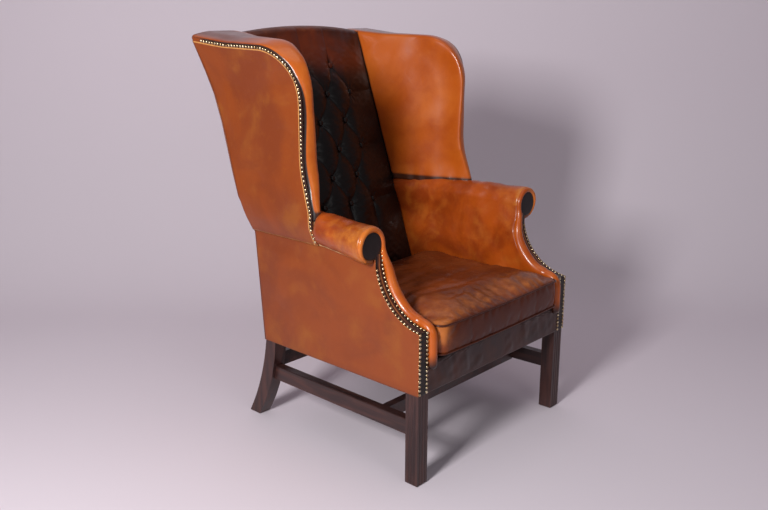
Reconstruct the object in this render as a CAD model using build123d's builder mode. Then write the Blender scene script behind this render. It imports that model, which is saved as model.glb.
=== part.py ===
from build123d import *
from math import cos, pi, sin
import os

os.makedirs("parts", exist_ok=True)

# Driving sizes of the chair. Depths ("d") are measured back from the front faces of the front legs.
front_width = 700
rear_width = 658
seat_run = 606
cover_base = 258
rail_height = 70
back_kink = 584
crest_height = 1163
arm_height = 683
deck_height = 345
lower_rake = 0.092
upper_rake = 0.298

# Thicknesses and clearances shared by many pieces
leg_side = 42
hide = 2.5
post_depth = 38
slack = 0.3
overrun = 400

# Front to back reach of the finished chair, which centres the frame
cushion_lead = 24
crest_round = 20
cambric = 1
webbing = 1.5

side_slope = (front_width - rear_width) / 2 / seat_run
rail_base = cover_base + cambric + 2 * webbing
rail_top = rail_base + rail_height


def rear_d(z):
    """Depth of the rear faces of the rear legs and back posts at height z."""
    lower = min(z, back_kink) - cover_base
    upper = max(z, back_kink) - back_kink
    return seat_run + lower_rake * lower + upper_rake * upper


def slope_d(z):
    """Depth of the upper rear slope, carried straight down below the kink."""
    return rear_d(back_kink) + upper_rake * (z - back_kink)


rear_reach = rear_d(crest_height - crest_round) + hide
leg_face = (cushion_lead - rear_reach) / 2


def at(d):
    """Y of a depth behind the front faces of the front legs."""
    return leg_face + d


def side_x(d):
    """X of the frame's outer side face at a depth."""
    return front_width / 2 - side_slope * d


side_plane = Plane(
    origin=(front_width / 2, at(0), 0), x_dir=(-side_slope, 1, 0), z_dir=(1, side_slope, 0)
)


def save(part, name):
    """Label one piece and write its STEP file."""
    part.label = name
    export_step(part, "parts/" + name + ".step")


def save_pair(builder, name):
    """Write a right-hand piece and its mirrored left-hand twin."""
    save(builder.part, name + "_right")
    with BuildPart() as twin:
        mirror(builder.part, about=Plane.YZ)
    save(twin.part, name + "_left")


def plan_solid(points, base, height, mode=Mode.ADD):
    """A straight-sided solid from a plan outline of (x, d) points."""
    with BuildSketch(Plane.XY.offset(base)) as plan:
        with BuildLine():
            Polyline([(x, at(d)) for x, d in points], close=True)
        make_face()
    extrude(plan.sketch, amount=height, mode=mode)


def both_sides(builder):
    """Add the mirrored copy of a right-hand builder to the current part."""
    add(builder.part, mode=Mode.SUBTRACT)
    add(mirror(builder.part, about=Plane.YZ, mode=Mode.PRIVATE), mode=Mode.SUBTRACT)


# Stretchers: low rails between the legs, with tenons
stretcher_side = 26
stretcher_height = 43
stretcher_base = 133
stretcher_inset = 12
tenon = 20
tenon_share = 0.45
stretcher_chamfer = 2
medial_d = 150
medial_width = 25
medial_height = 36
medial_base = 129
medial_tenon = 8
rear_stretcher_base = 168
rear_stretcher_width = 22
leg_inner_front = front_width / 2 - leg_side
leg_inner_rear = rear_width / 2 - leg_side

# Rear leg: a square leg swept back to the floor, scarfed to the back post above the rail
foot_sweep = 91
foot_depth = 46
knee_height = 150
knee_rear = 24
knee_front = 19
scarf_base = rail_top + 20
scarf_top = scarf_base + 90
leg_front_d = seat_run - leg_side


def side_profile(points, mode=Mode.ADD, depth=None, start=0):
    """A solid whose side view is a closed outline of (d, z) points, running out to the right."""
    with BuildSketch(Plane.YZ.offset(start)) as profile:
        with BuildLine():
            Polyline([(at(d), z) for d, z in points], close=True)
        make_face()
    extrude(profile.sketch, amount=depth or overrun, mode=mode)


with BuildPart() as rear_leg_blank:
    with BuildSketch(Plane.YZ.offset(leg_inner_rear)):
        with BuildLine():
            rear_curve = ThreePointArc(
                (at(seat_run), cover_base),
                (at(seat_run + knee_rear), knee_height),
                (at(seat_run + foot_sweep), 0),
            )
            sole = Line(rear_curve @ 1, (at(seat_run + foot_sweep - foot_depth), 0))
            front_curve = ThreePointArc(
                sole @ 1, (at(leg_front_d + knee_front), knee_height), (at(leg_front_d), cover_base)
            )
            Polyline(
                front_curve @ 1,
                (at(rear_d(scarf_base) - post_depth), scarf_base),
                (at(rear_d(scarf_top)), scarf_top),
                rear_curve @ 0,
            )
        make_face()
    extrude(amount=overrun)
    split(bisect_by=side_plane, keep=Keep.BOTTOM)
    chamfer(faces().sort_by(Axis.Z)[0].edges(), stretcher_chamfer)

with BuildPart() as side_stretcher:
    outer = stretcher_inset
    inner = stretcher_inset + stretcher_side
    with BuildSketch(side_plane.offset(-outer)):
        with Locations(((leg_side + seat_run) / 2, stretcher_base + stretcher_height / 2)):
            Rectangle(seat_run - leg_side, stretcher_height)
    extrude(amount=-stretcher_side)
    top_edges = edges().filter_by(Axis.Z, reverse=True).group_by(Axis.Z)[-1]
    chamfer(top_edges.sort_by(Axis.X)[-1], stretcher_chamfer)
    add(rear_leg_blank.part, mode=Mode.SUBTRACT)
    for tenon_start, tenon_end in ((leg_side - tenon, leg_side), (leg_front_d, seat_run - tenon / 2)):
        with BuildSketch(side_plane.offset(-(outer + inner) / 2 + tenon_share * stretcher_side / 2)):
            with Locations(((tenon_start + tenon_end) / 2, stretcher_base + stretcher_height / 2)):
                Rectangle(tenon_end - tenon_start, stretcher_height * (1 - tenon_share / 2))
        extrude(amount=-tenon_share * stretcher_side)

with BuildPart() as medial_stretcher:
    reach = side_x(medial_d) - stretcher_inset - stretcher_side
    with BuildSketch(Plane.XY.offset(medial_base)):
        with Locations((0, at(medial_d + medial_width / 2))):
            Rectangle(2 * reach + 2 * medial_width, medial_width)
    extrude(amount=medial_height)
    both_sides(side_stretcher)
    split(bisect_by=Plane.YZ.offset(reach + medial_tenon / 2), keep=Keep.BOTTOM)
    split(bisect_by=Plane.YZ.offset(-reach - medial_tenon / 2), keep=Keep.TOP)
    with BuildSketch(Plane.XY.offset(medial_base + medial_height * tenon_share / 2)):
        with Locations((0, at(medial_d + medial_width / 2))):
            Rectangle(2 * reach + 2 * medial_tenon, medial_width * (1 - tenon_share))
    extrude(amount=medial_height * (1 - tenon_share))

with BuildPart() as rear_stretcher:
    rear_stretcher_d = leg_front_d + (leg_side + knee_front) / 2
    with BuildSketch(Plane.XY.offset(rear_stretcher_base)):
        with Locations((0, at(rear_stretcher_d))):
            Rectangle(2 * leg_inner_rear, rear_stretcher_width)
    extrude(amount=stretcher_height)
    with BuildSketch(Plane.XY.offset(rear_stretcher_base + stretcher_height * tenon_share / 2)):
        with Locations((0, at(rear_stretcher_d))):
            Rectangle(2 * leg_inner_rear + tenon, rear_stretcher_width * (1 - tenon_share))
    extrude(amount=stretcher_height * (1 - tenon_share))

# Seat rails, tenoned into the legs
rail_thickness = 28
rail_tenon = 20
rail_tenon_width = 10

with BuildPart() as front_rail:
    with BuildSketch(Plane.XY.offset(rail_base)):
        with Locations((0, at(rail_thickness / 2))):
            Rectangle(2 * leg_inner_front, rail_thickness)
    extrude(amount=rail_height)
    with BuildSketch(Plane.XY.offset(rail_base + rail_height * tenon_share / 2)):
        with Locations((0, at(rail_thickness / 2))):
            Rectangle(2 * (leg_inner_front + rail_tenon), rail_tenon_width)
    extrude(amount=rail_height * (1 - tenon_share))

with BuildPart() as rear_rail:
    with BuildSketch(Plane.XY.offset(rail_base)):
        with Locations((0, at(seat_run - rail_thickness / 2))):
            Rectangle(2 * leg_inner_rear, rail_thickness)
    extrude(amount=rail_height)
    with BuildSketch(Plane.XY.offset(rail_base + rail_height * tenon_share / 2)):
        with Locations((0, at(seat_run - rail_thickness / 2))):
            Rectangle(2 * (leg_inner_rear + rail_tenon), rail_tenon_width)
    extrude(amount=rail_height * (1 - tenon_share))

with BuildPart() as side_rail:
    with BuildSketch(side_plane):
        with Locations(((leg_side + seat_run) / 2, rail_base + rail_height / 2)):
            Rectangle(seat_run - leg_side, rail_height)
    extrude(amount=-rail_thickness)
    add(rear_leg_blank.part, mode=Mode.SUBTRACT)
    with BuildSketch(side_plane.offset((rail_tenon_width - rail_thickness) / 2)):
        with Locations(((leg_side + leg_front_d) / 2, rail_base + rail_height / 2)):
            Rectangle(leg_front_d - leg_side + 2 * rail_tenon, rail_height * (1 - tenon_share))
    extrude(amount=-rail_tenon_width)

# Front legs: straight square legs with reeded outer faces, standing up to the rail top
reed_radius = 4
reed_depth = 1.6
reed_pitch = 11
leg_chamfer = 3

with BuildPart() as front_leg:
    plan_solid(
        [(side_x(0), 0), (side_x(leg_side), leg_side), (leg_inner_front, leg_side), (leg_inner_front, 0)],
        0,
        rail_top,
    )
    chamfer(faces().sort_by(Axis.Z)[0].edges(), leg_chamfer)
    for step in (-1, 0, 1):
        front_spot = (front_width / 2 - leg_side / 2 + step * reed_pitch, at(reed_depth - reed_radius))
        side_d = leg_side / 2 + step * reed_pitch
        side_spot = (side_x(side_d) - reed_depth + reed_radius, at(side_d))
        with BuildSketch(Plane.XY):
            with Locations(front_spot, side_spot):
                Circle(reed_radius)
        extrude(amount=cover_base - leg_chamfer, mode=Mode.SUBTRACT)
    add(front_rail.part, mode=Mode.SUBTRACT)
    add(side_rail.part, mode=Mode.SUBTRACT)
    add(side_stretcher.part, mode=Mode.SUBTRACT)

with BuildPart() as rear_leg:
    add(rear_leg_blank.part)
    add(rear_rail.part, mode=Mode.SUBTRACT)
    add(rear_stretcher.part, mode=Mode.SUBTRACT)
    add(side_rail.part, mode=Mode.SUBTRACT)
    add(side_stretcher.part, mode=Mode.SUBTRACT)

with BuildPart() as side_stretcher_cut:
    add(side_stretcher.part)
    add(medial_stretcher.part, mode=Mode.SUBTRACT)

# Corner blocks glued into the four corners of the seat frame
block_leg = 62
block_drop = 6
block_height = 40

with BuildPart() as corner_blocks:
    for corner_x, corner_d, toward in (
        (side_x(rail_thickness) - rail_thickness, rail_thickness, 1),
        (side_x(seat_run) - rail_thickness, seat_run - rail_thickness, -1),
    ):
        for side in (1, -1):
            plan_solid(
                [
                    (side * corner_x, corner_d),
                    (side * (corner_x - block_leg), corner_d),
                    (side * corner_x, corner_d + toward * block_leg),
                ],
                rail_top - block_drop - block_height,
                block_height,
            )
    for leg in (front_leg, rear_leg, side_rail):
        both_sides(leg)

# Back frame: posts scarfed onto the rear legs, crest rail on top, stay rail above the seat
crest_rail_depth = 83
crest_rail_base = crest_height - crest_rail_depth
crest_padding = 10
crest_half = 330
crest_drop = 21
stay_rail_base = 372
stay_rail_height = 50


def crest_z(x):
    """Height of the finished crest at a distance from the middle: a shallow arch."""
    return crest_height - crest_drop * (x / crest_half) ** 2


with BuildPart() as back_post:
    side_profile(
        [
            (rear_d(scarf_base) - post_depth, scarf_base),
            (rear_d(scarf_top), scarf_top),
            (rear_d(back_kink), back_kink),
            (rear_d(crest_rail_base), crest_rail_base),
            (rear_d(crest_rail_base) - post_depth, crest_rail_base),
            (rear_d(back_kink) - post_depth, back_kink),
        ],
        start=leg_inner_rear,
        depth=leg_side,
    )
    split(bisect_by=side_plane, keep=Keep.BOTTOM)

with BuildPart() as crest_rail:
    crest_rail_end = crest_z(crest_half) - crest_padding - hide
    with BuildSketch(Plane.XZ.offset(-at(0))):
        with BuildLine():
            crest_line = ThreePointArc(
                (-leg_inner_rear - leg_side, crest_rail_end),
                (0, crest_height - crest_padding - hide),
                (leg_inner_rear + leg_side, crest_rail_end),
            )
            Polyline(
                crest_line @ 1,
                (leg_inner_rear + leg_side, crest_rail_base),
                (-leg_inner_rear - leg_side, crest_rail_base),
                crest_line @ 0,
            )
        make_face()
    extrude(amount=-3 * overrun)
    with BuildSketch(Plane.YZ):
        with BuildLine():
            Polyline(
                [
                    (at(rear_d(crest_rail_base) - post_depth), crest_rail_base),
                    (at(rear_d(crest_rail_base)), crest_rail_base),
                    (at(rear_d(crest_height)), crest_height),
                    (at(rear_d(crest_height) - post_depth), crest_height),
                ],
                close=True,
            )
        make_face()
    extrude(amount=overrun, both=True, mode=Mode.INTERSECT)

with BuildPart() as back_stay_rail:
    stay_front = rear_d(stay_rail_base) - post_depth
    with BuildSketch(Plane.XY.offset(stay_rail_base)):
        with Locations((0, at(stay_front + rail_thickness / 2 + lower_rake * stay_rail_height))):
            Rectangle(2 * leg_inner_rear, rail_thickness)
    extrude(amount=stay_rail_height)
    split(
        bisect_by=Plane(
            origin=(0, at(stay_front), stay_rail_base), x_dir=(1, 0, 0), z_dir=(0, 1, -lower_rake)
        ),
        keep=Keep.TOP,
    )

# Arm: an upright behind the facing, and a board that carries the roll back to the post
arm_post_width = 42
arm_corner = 424
arm_curve_d = 152
arm_curve_share = 0.60
arm_curve_mid = 463
arm_board_drop = 91
arm_board_base = arm_height - arm_board_drop
arm_board_height = 22
arm_curve_margin = 20
arm_curve_top = arm_board_base - arm_curve_margin
arm_post_depth = 56
roll_radius = 51
roll_x = 358
roll_z = arm_height - roll_radius - hide / 2
wing_foot_d = 345
board_reach = 30
board_wing_reach = 2
post_lean = 60


def arm_front(inset, base, top):
    """Side-view curve of the arm's front edge, inset from the facing's front."""
    foot = Line((at(inset), base), (at(inset), arm_corner - inset))
    bend = ThreePointArc(
        foot @ 1,
        (at(arm_curve_share * arm_curve_d + inset), arm_curve_mid - inset),
        (at(arm_curve_d + inset), arm_curve_top),
    )
    head = Line(bend @ 1, (at(arm_curve_d + inset), top))
    return foot, head


with BuildPart() as arm_post:
    with BuildSketch(Plane.YZ.offset(front_width / 2 - arm_post_width - 2 * side_slope * arm_post_width)):
        with BuildLine():
            foot, head = arm_front(0, rail_top, arm_board_base)
            Polyline(
                head @ 1,
                (at(arm_curve_d + arm_post_depth), arm_board_base),
                (at(arm_curve_d + arm_post_depth), arm_curve_top - post_lean),
                (at(arm_post_depth + post_lean), rail_top),
                foot @ 0,
            )
        make_face()
    extrude(amount=overrun)
    split(bisect_by=side_plane, keep=Keep.BOTTOM)

with BuildPart() as arm_board:
    board_outer = roll_x + board_reach
    board_rear_d = rear_d(arm_board_base + arm_board_height) - post_depth
    board_inner_x = front_width / 2 - arm_post_width
    plan_solid(
        [
            (board_inner_x, arm_curve_d + hide),
            (board_outer, arm_curve_d + hide),
            (side_x(wing_foot_d) + board_wing_reach, wing_foot_d),
            (side_x(board_rear_d), board_rear_d),
            (leg_inner_rear, board_rear_d),
        ],
        arm_board_base,
        arm_board_height,
    )
    add(back_post.part, mode=Mode.SUBTRACT)

# Wing: front upright and top rail follow the wing's side view, inset under the stuffing
wing_rise = crest_height - arm_height
wing_reach = rear_d(crest_height) - wing_foot_d
# Front and top edge: shares of the reach behind the wing's foot and of the rise above the arm
wing_edge_shares = [(0.015, 0), (0.095, 0.244), (0.089, 0.933), (0.706, 0.948), (1.112, 0.9875)]
wing_front = [(wing_foot_d, arm_board_base)]
for back, up in wing_edge_shares:
    wing_front.append((wing_foot_d + back * wing_reach, arm_height + up * wing_rise))
wing_bend_shares = [0.13, 0.56, 0.324, 0.864]
wing_radii = [share * wing_reach for share in wing_bend_shares]
wing_inner_x = 325
wing_inner_d = 390
seam_x = 254
seam_narrowing = 0.0434
seam_depth = 45
ridge_x = 338
band_fall = 0.30
band_back = 0.35
wing_flare = 100
wing_wood = 36
wing_padding = 13
wing_shell_depth = 38
wing_level_rear = 830
# Outer surface: shares of the height from the arm board to the crest, with the x at the front
# and at the rear as shares of half the chair's width
wing_level_shares = [
    (-0.007, 0.997, 0.946),
    (0.084, 1.051, 0.994),
    (0.172, 1.023, 1.034),
    (0.294, 1.003, 1.037),
    (0.539, 0.997, 1.031),
    (0.680, 0.997, 1.046),
    (0.785, 1.017, 1.080),
    (0.863, 1.057, 1.111),
    (0.933, 1.117, 1.140),
    (1.0035, 1.154, 1.154),
]
wing_levels = []
for up, front_share, rear_share in wing_level_shares:
    level_z = arm_board_base + up * (crest_height - arm_board_base)
    wing_levels.append((level_z, front_share * front_width / 2, rear_share * front_width / 2))


def seam_d(z):
    """Depth of the seam between the inside back and the wings."""
    return slope_d(z) - seam_depth


def seam_half(z):
    """X of the seam between the inside back and the wings."""
    return seam_x - seam_narrowing * (z - arm_height)


seam_low = Vector(seam_half(arm_height), at(seam_d(arm_height)), arm_height)
seam_high = Vector(seam_half(crest_height), at(seam_d(crest_height)), crest_height)
wing_corner = Vector(wing_inner_x, at(wing_inner_d), arm_height)
wing_normal = (wing_corner - seam_low).cross(seam_high - seam_low).normalized()


seam_plane = Plane(origin=seam_low + Vector(slack, 0, 0), z_dir=(1, 0, seam_narrowing))
left_seam_plane = Plane(origin=(-seam_low.X - slack, 0, arm_height), z_dir=(-1, 0, seam_narrowing))


def wing_plane(inset):
    """Plane of the wing's inner face, moved outward by an inset; its normal faces the sitter."""
    return Plane(origin=wing_corner - wing_normal * inset, z_dir=wing_normal)


def wing_face(inset):
    """Side view of the wing inside the current sketch, inset all along its front and top."""
    with BuildLine() as outline:
        edge = FilletPolyline(*[(at(d), z) for d, z in wing_front], radius=wing_radii)
        Polyline(edge @ 1, (at(wing_front[-1][0]), wing_front[0][1]), edge @ 0)
    make_face(outline.line)
    if inset:
        offset(amount=-inset, kind=Kind.INTERSECTION, mode=Mode.REPLACE)


def wing_prism(inset, base):
    """The wing's stuffed envelope: straight to the ridge, then falling outward to the nailed edge."""
    with BuildSketch(Plane.YZ) as middle:
        wing_face(inset)
    extrude(middle.sketch, amount=ridge_x)
    with BuildSketch(Plane.YZ.offset(ridge_x)) as ridge:
        wing_face(inset)
    extrude(ridge.sketch, amount=wing_flare, dir=(1, band_back, -band_fall))
    split(bisect_by=Plane.XY.offset(base), keep=Keep.TOP)
    split(bisect_by=wing_plane(inset), keep=Keep.BOTTOM)
    split(bisect_by=seam_plane, keep=Keep.TOP)


def rear_cut():
    """Cut the current part back to the rear faces of the frame."""
    top = crest_height + crest_padding
    side_profile(
        [
            (rear_d(cover_base), 0),
            (rear_d(cover_base), cover_base),
            (rear_d(back_kink), back_kink),
            (rear_d(top), top),
            (rear_d(top) + overrun, top),
            (rear_d(cover_base) + overrun, 0),
        ],
        mode=Mode.SUBTRACT,
        depth=2 * overrun,
    )


def shell_loft(outer_inset, inner_inset):
    """Skin or core of the wing's outer surface between two insets, lofted from front to rear."""
    ends = []
    for d, column in ((arm_curve_d, 1), (wing_level_rear, 2)):
        with BuildSketch(Plane.XZ.offset(-at(d))) as end:
            with BuildLine():
                outside = [(level[column] - outer_inset, level[0]) for level in wing_levels]
                inside = [(level[column] - inner_inset, level[0]) for level in reversed(wing_levels)]
                if inner_inset >= overrun:
                    inside = [(0, wing_levels[-1][0]), (0, wing_levels[0][0])]
                Polyline(outside + inside, close=True)
            make_face()
        ends.append(end.sketch)
    loft(ends, ruled=True)


with BuildPart() as wing_core:
    shell_loft(hide, overrun)

with BuildPart() as wing_frame:
    wing_prism(wing_padding, arm_board_base + arm_board_height)
    with BuildSketch(Plane.YZ):
        wing_face(wing_padding + wing_wood)
    extrude(amount=overrun, mode=Mode.SUBTRACT)
    split(bisect_by=wing_plane(hide + wing_padding), keep=Keep.BOTTOM)
    add(wing_core.part, mode=Mode.INTERSECT)
    rear_cut()
    add(back_post.part, mode=Mode.SUBTRACT)
    add(crest_rail.part, mode=Mode.SUBTRACT)

mitre_depth = 113
wing_mitre = crest_height - mitre_depth
with BuildPart() as wing_post:
    add(wing_frame.part)
    split(bisect_by=Plane.XY.offset(wing_mitre), keep=Keep.BOTTOM)

with BuildPart() as wing_rail:
    add(wing_frame.part)
    split(bisect_by=Plane.XY.offset(wing_mitre), keep=Keep.TOP)


# Arm upholstery: stuffing and hide share one envelope, taken at two insets
canvas = 1.2
pad_base = rail_top + canvas
edge_roll_radius = 20
edge_roll_x = 303
edge_roll_lead = 3
# Run of the edge roll above the arm's corner: shares of the front curve's depth and of its rise
edge_roll_shares = [(0.513, 0.149), (0.895, 0.581), (0.967, 1.12)]
edge_roll_bends = [24, 100, 100, 60]
arm_hollow = 30
arm_panel_mid = 480
arm_panel_front = 297
arm_panel_wing = 280
arm_panel_rear = 268
roll_rear_radius = 44
roll_rear_x = 331
arm_rear_d = 700
arm_ease = 7
arm_curve_rise = arm_curve_top - arm_corner
edge_roll_path = [(-edge_roll_lead, pad_base), (-edge_roll_lead, arm_corner + 2 * edge_roll_lead)]
edge_roll_path += [(back * arm_curve_d, arm_corner + up * arm_curve_rise) for back, up in edge_roll_shares]
edge_roll_path.append((edge_roll_shares[-1][0] * arm_curve_d, roll_z))


def frontal_loft(sections):
    """A ruled solid through (d, outline) sections, each outline a list of (x, z) points."""
    ends = []
    for d, points in sections:
        with BuildSketch(Plane.XZ.offset(-at(d))) as end:
            with BuildLine():
                Polyline(points, close=True)
            make_face()
        ends.append(end.sketch)
    loft(ends, ruled=True)


def arm_side_view(rear, base, top):
    """Keep the current part inside the arm's side view."""
    with BuildSketch(Plane.YZ) as side_view:
        with BuildLine():
            foot, head = arm_front(0, base, top)
            Polyline(head @ 1, (at(rear), top), (at(rear), base), foot @ 0)
        make_face()
    extrude(side_view.sketch, amount=overrun, mode=Mode.INTERSECT)


def arm_section(outer_x, panel_x):
    """Section of the arm below its roll, from the outer face to the sitter's side."""
    return [
        (outer_x, pad_base),
        (panel_x, pad_base),
        (panel_x, arm_panel_mid),
        (panel_x + arm_ease, back_kink),
        (outer_x, roll_z),
    ]


def arm_front_block(inset):
    """The arm's padded side from its front to the wing."""
    with BuildPart() as block:
        frontal_loft(
            [
                (0, arm_section(side_x(0) - arm_hollow, arm_panel_front + inset)),
                (wing_foot_d, arm_section(side_x(wing_foot_d) - arm_hollow, arm_panel_wing + inset)),
            ]
        )
        arm_side_view(arm_rear_d, pad_base, arm_height)
    return block


def arm_roll(inset):
    """The scrolled top of the arm, tapering back to the wing."""
    with BuildPart() as roll:
        with BuildSketch(Plane.XZ.offset(-at(arm_curve_d + inset))) as roll_front:
            with Locations((roll_x, roll_z)):
                Circle(roll_radius - inset)
        with BuildSketch(Plane.XZ.offset(-at(wing_foot_d))) as roll_rear:
            with Locations((roll_rear_x, arm_height - roll_rear_radius)):
                Circle(roll_rear_radius - inset)
        loft([roll_front.sketch, roll_rear.sketch])
    return roll


def arm_rear_block(inset):
    """The arm's padded side and top from the wing's foot back under the wing."""
    wing_outer = side_x(wing_foot_d) - arm_hollow
    rear_outer = side_x(arm_rear_d) - arm_hollow
    top = arm_height - inset
    with BuildPart() as block:
        frontal_loft(
            [
                (
                    wing_foot_d,
                    [
                        (wing_outer, pad_base),
                        (arm_panel_wing + inset, pad_base),
                        (arm_panel_wing + inset, arm_panel_mid),
                        (arm_panel_wing + arm_ease + inset, back_kink),
                        (roll_rear_x - inset, top),
                        (roll_rear_x + roll_rear_radius - inset, top),
                        (roll_rear_x + roll_rear_radius - inset, arm_board_base),
                        (wing_outer, arm_board_base),
                    ],
                ),
                (
                    arm_rear_d,
                    [
                        (rear_outer, pad_base),
                        (arm_panel_rear - arm_ease + inset, pad_base),
                        (seam_half(arm_panel_mid) + inset, arm_panel_mid),
                        (seam_half(back_kink) - arm_ease + inset, back_kink),
                        (seam_half(arm_height) - 2 * arm_ease + inset, top),
                        (front_width / 2 + hide, top),
                        (front_width / 2 + hide, arm_board_base),
                        (rear_outer, arm_board_base),
                    ],
                ),
            ]
        )
    return block


def arm_envelope(inset):
    """Arm stuffing with its front edge roll, top roll and the part that runs back under the wing."""
    blocks = [arm_front_block(inset), arm_roll(inset), arm_rear_block(inset)]
    with BuildPart() as envelope:
        with BuildLine(Plane.YZ.offset(edge_roll_x)) as path:
            FilletPolyline(*[(at(d), z) for d, z in edge_roll_path], radius=edge_roll_bends)
        with BuildSketch(Plane.XY.offset(pad_base)) as round_end:
            with Locations((edge_roll_x, at(edge_roll_path[0][0]))):
                Circle(edge_roll_radius - inset)
        sweep(round_end.sketch, path=path.line)
        with Locations((edge_roll_x, at(edge_roll_path[-1][0]), edge_roll_path[-1][1])):
            Sphere(edge_roll_radius - inset)
        for block in blocks:
            add(block.part)
        rear_cut()
        split(bisect_by=seam_plane, keep=Keep.TOP)
    return envelope


def clear_of(*builders):
    """Cut right-hand pieces out of the current part."""
    for builder in builders:
        add(builder.part, mode=Mode.SUBTRACT)


arm_outer = arm_envelope(0)
arm_inner = arm_envelope(hide)

with BuildPart() as under_wing:
    add(arm_inner.part)
    plan_solid(
        [(0, wing_foot_d), (overrun, wing_foot_d), (overrun, arm_rear_d), (0, arm_rear_d)],
        arm_board_base,
        overrun,
        mode=Mode.INTERSECT,
    )
    add(wing_core.part, mode=Mode.SUBTRACT)

with BuildPart() as past_wing:
    plan_solid(
        [
            (roll_rear_x, wing_foot_d),
            (overrun, wing_foot_d),
            (overrun, arm_rear_d),
            (roll_rear_x, arm_rear_d),
        ],
        arm_board_base - roll_rear_radius,
        overrun,
    )

# The roll is padded over the board and round its edge, but not beneath it
with BuildPart() as under_board:
    plan_solid(
        [
            (side_x(0) - arm_hollow, 0),
            (overrun, 0),
            (overrun, arm_rear_d),
            (side_x(arm_rear_d) - arm_hollow, arm_rear_d),
        ],
        0,
        arm_board_base,
    )

with BuildPart() as arm_stuffing:
    add(arm_inner.part)
    clear_of(arm_post, arm_board, back_post, wing_post, side_rail, rear_leg, rear_rail, back_stay_rail)
    clear_of(under_wing, under_board)

with BuildPart() as inside_arm:
    add(arm_outer.part)
    clear_of(arm_inner, arm_post, arm_board, back_post, side_rail, rear_leg, rear_rail, back_stay_rail)
    clear_of(past_wing)

# Facing strip on the arm's front, with the round scroll end
facing_inner_x = 324
scroll_facing_radius = 38

with BuildPart() as arm_facing:
    with BuildSketch(Plane.YZ.offset(facing_inner_x)) as facing_view:
        with BuildLine() as facing_line:
            foot, head = arm_front(-hide, cover_base, roll_z)
            Line(head @ 1, (at(arm_curve_d), roll_z))
            back_foot, back_head = arm_front(0, cover_base, roll_z)
            Line(back_foot @ 0, foot @ 0)
        make_face(facing_line.line)
    extrude(facing_view.sketch, amount=overrun)
    split(bisect_by=side_plane, keep=Keep.BOTTOM)
    with BuildSketch(Plane.XZ.offset(-at(arm_curve_d))) as scroll_face:
        with Locations((roll_x, roll_z)):
            Circle(scroll_facing_radius)
    extrude(scroll_face.sketch, amount=hide)
    add(arm_outer.part, mode=Mode.SUBTRACT)

with BuildPart() as outside_arm:
    with BuildSketch(Plane.YZ) as arm_view:
        with BuildLine():
            foot, head = arm_front(-hide, cover_base, arm_board_base - slack)
            Polyline(
                head @ 1,
                (at(rear_d(arm_board_base)), arm_board_base - slack),
                (at(rear_d(back_kink)), back_kink),
                (at(rear_d(cover_base)), cover_base),
                foot @ 0,
            )
        make_face()
    extrude(arm_view.sketch, amount=2 * overrun)
    split(bisect_by=side_plane, keep=Keep.TOP)
    split(bisect_by=side_plane.offset(hide), keep=Keep.BOTTOM)
    add(arm_outer.part, mode=Mode.SUBTRACT)

# Wing upholstery
with BuildPart() as wing_outer_pad:
    wing_prism(0, arm_height)
    rear_cut()

with BuildPart() as wing_inner_pad:
    wing_prism(hide, arm_height)
    rear_cut()

with BuildPart() as inside_wing:
    add(wing_outer_pad.part)
    add(wing_inner_pad.part, mode=Mode.SUBTRACT)
    add(wing_core.part, mode=Mode.INTERSECT)
    clear_of(back_post, crest_rail)

with BuildPart() as wing_hollow:
    wing_prism(wing_padding + wing_wood, arm_height + wing_wood)
    split(bisect_by=wing_plane(wing_shell_depth), keep=Keep.BOTTOM)

with BuildPart() as wing_stuffing:
    add(wing_inner_pad.part)
    add(wing_core.part, mode=Mode.INTERSECT)
    clear_of(wing_hollow, wing_post, wing_rail, back_post, crest_rail)

wing_edge_inset = 15
with BuildPart() as outside_wing:
    shell_loft(0, hide)
    with BuildSketch(Plane.YZ) as wing_view:
        wing_face(wing_edge_inset)
        with Locations((at(wing_foot_d) + overrun, arm_board_base)):
            Rectangle(2 * overrun - 2 * wing_edge_inset, 3 * wing_edge_inset)
    extrude(wing_view.sketch, amount=2 * overrun, mode=Mode.INTERSECT)
    rear_cut()

# Inside back: the buttoned hide with the felt that its buttons pull in, over firm stuffing
column_pitch = 108
row_count = 6
tuft_depth = 18
back_crown = 52
low_row_rise = 41.5
low_row = back_kink + low_row_rise
steps_per_pitch = 4
fold_share = 0.45
pleat_share = 0.5
fade_rows_share = 0.9
top_rows_share = 5.75
low_step_count = 5
back_base = deck_height + slack
crest_cap_height = 60.25
back_top = crest_height - crest_cap_height
row_pitch = (back_top - low_row) / top_rows_share
back_seam_margin = 10
low_crown_share = 0.55
top_crown_share = 0.5
crown_power = 2.5
tuft_power = 0.6
crest_slices = [-1, -0.5, 0, 0.5, 1]
felt_column_shares = [0, 0.45, 0.8, 1]
felt_depth_shares = [1, 1, 0.3, 0]
lining_depth = post_depth + webbing + canvas


def crown(x, z):
    """Swell of the inside back in front of its seams."""
    across = 1 - abs(x / seam_half(z)) ** crown_power
    rising = low_crown_share + (1 - low_crown_share) * (z - back_base) / (low_row - back_base)
    fade_base = low_row + (row_count - 2) * row_pitch
    falling = 1 - (1 - top_crown_share) * (z - fade_base) / (back_top - fade_base)
    return back_crown * across * min(1, rising, falling)


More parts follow.
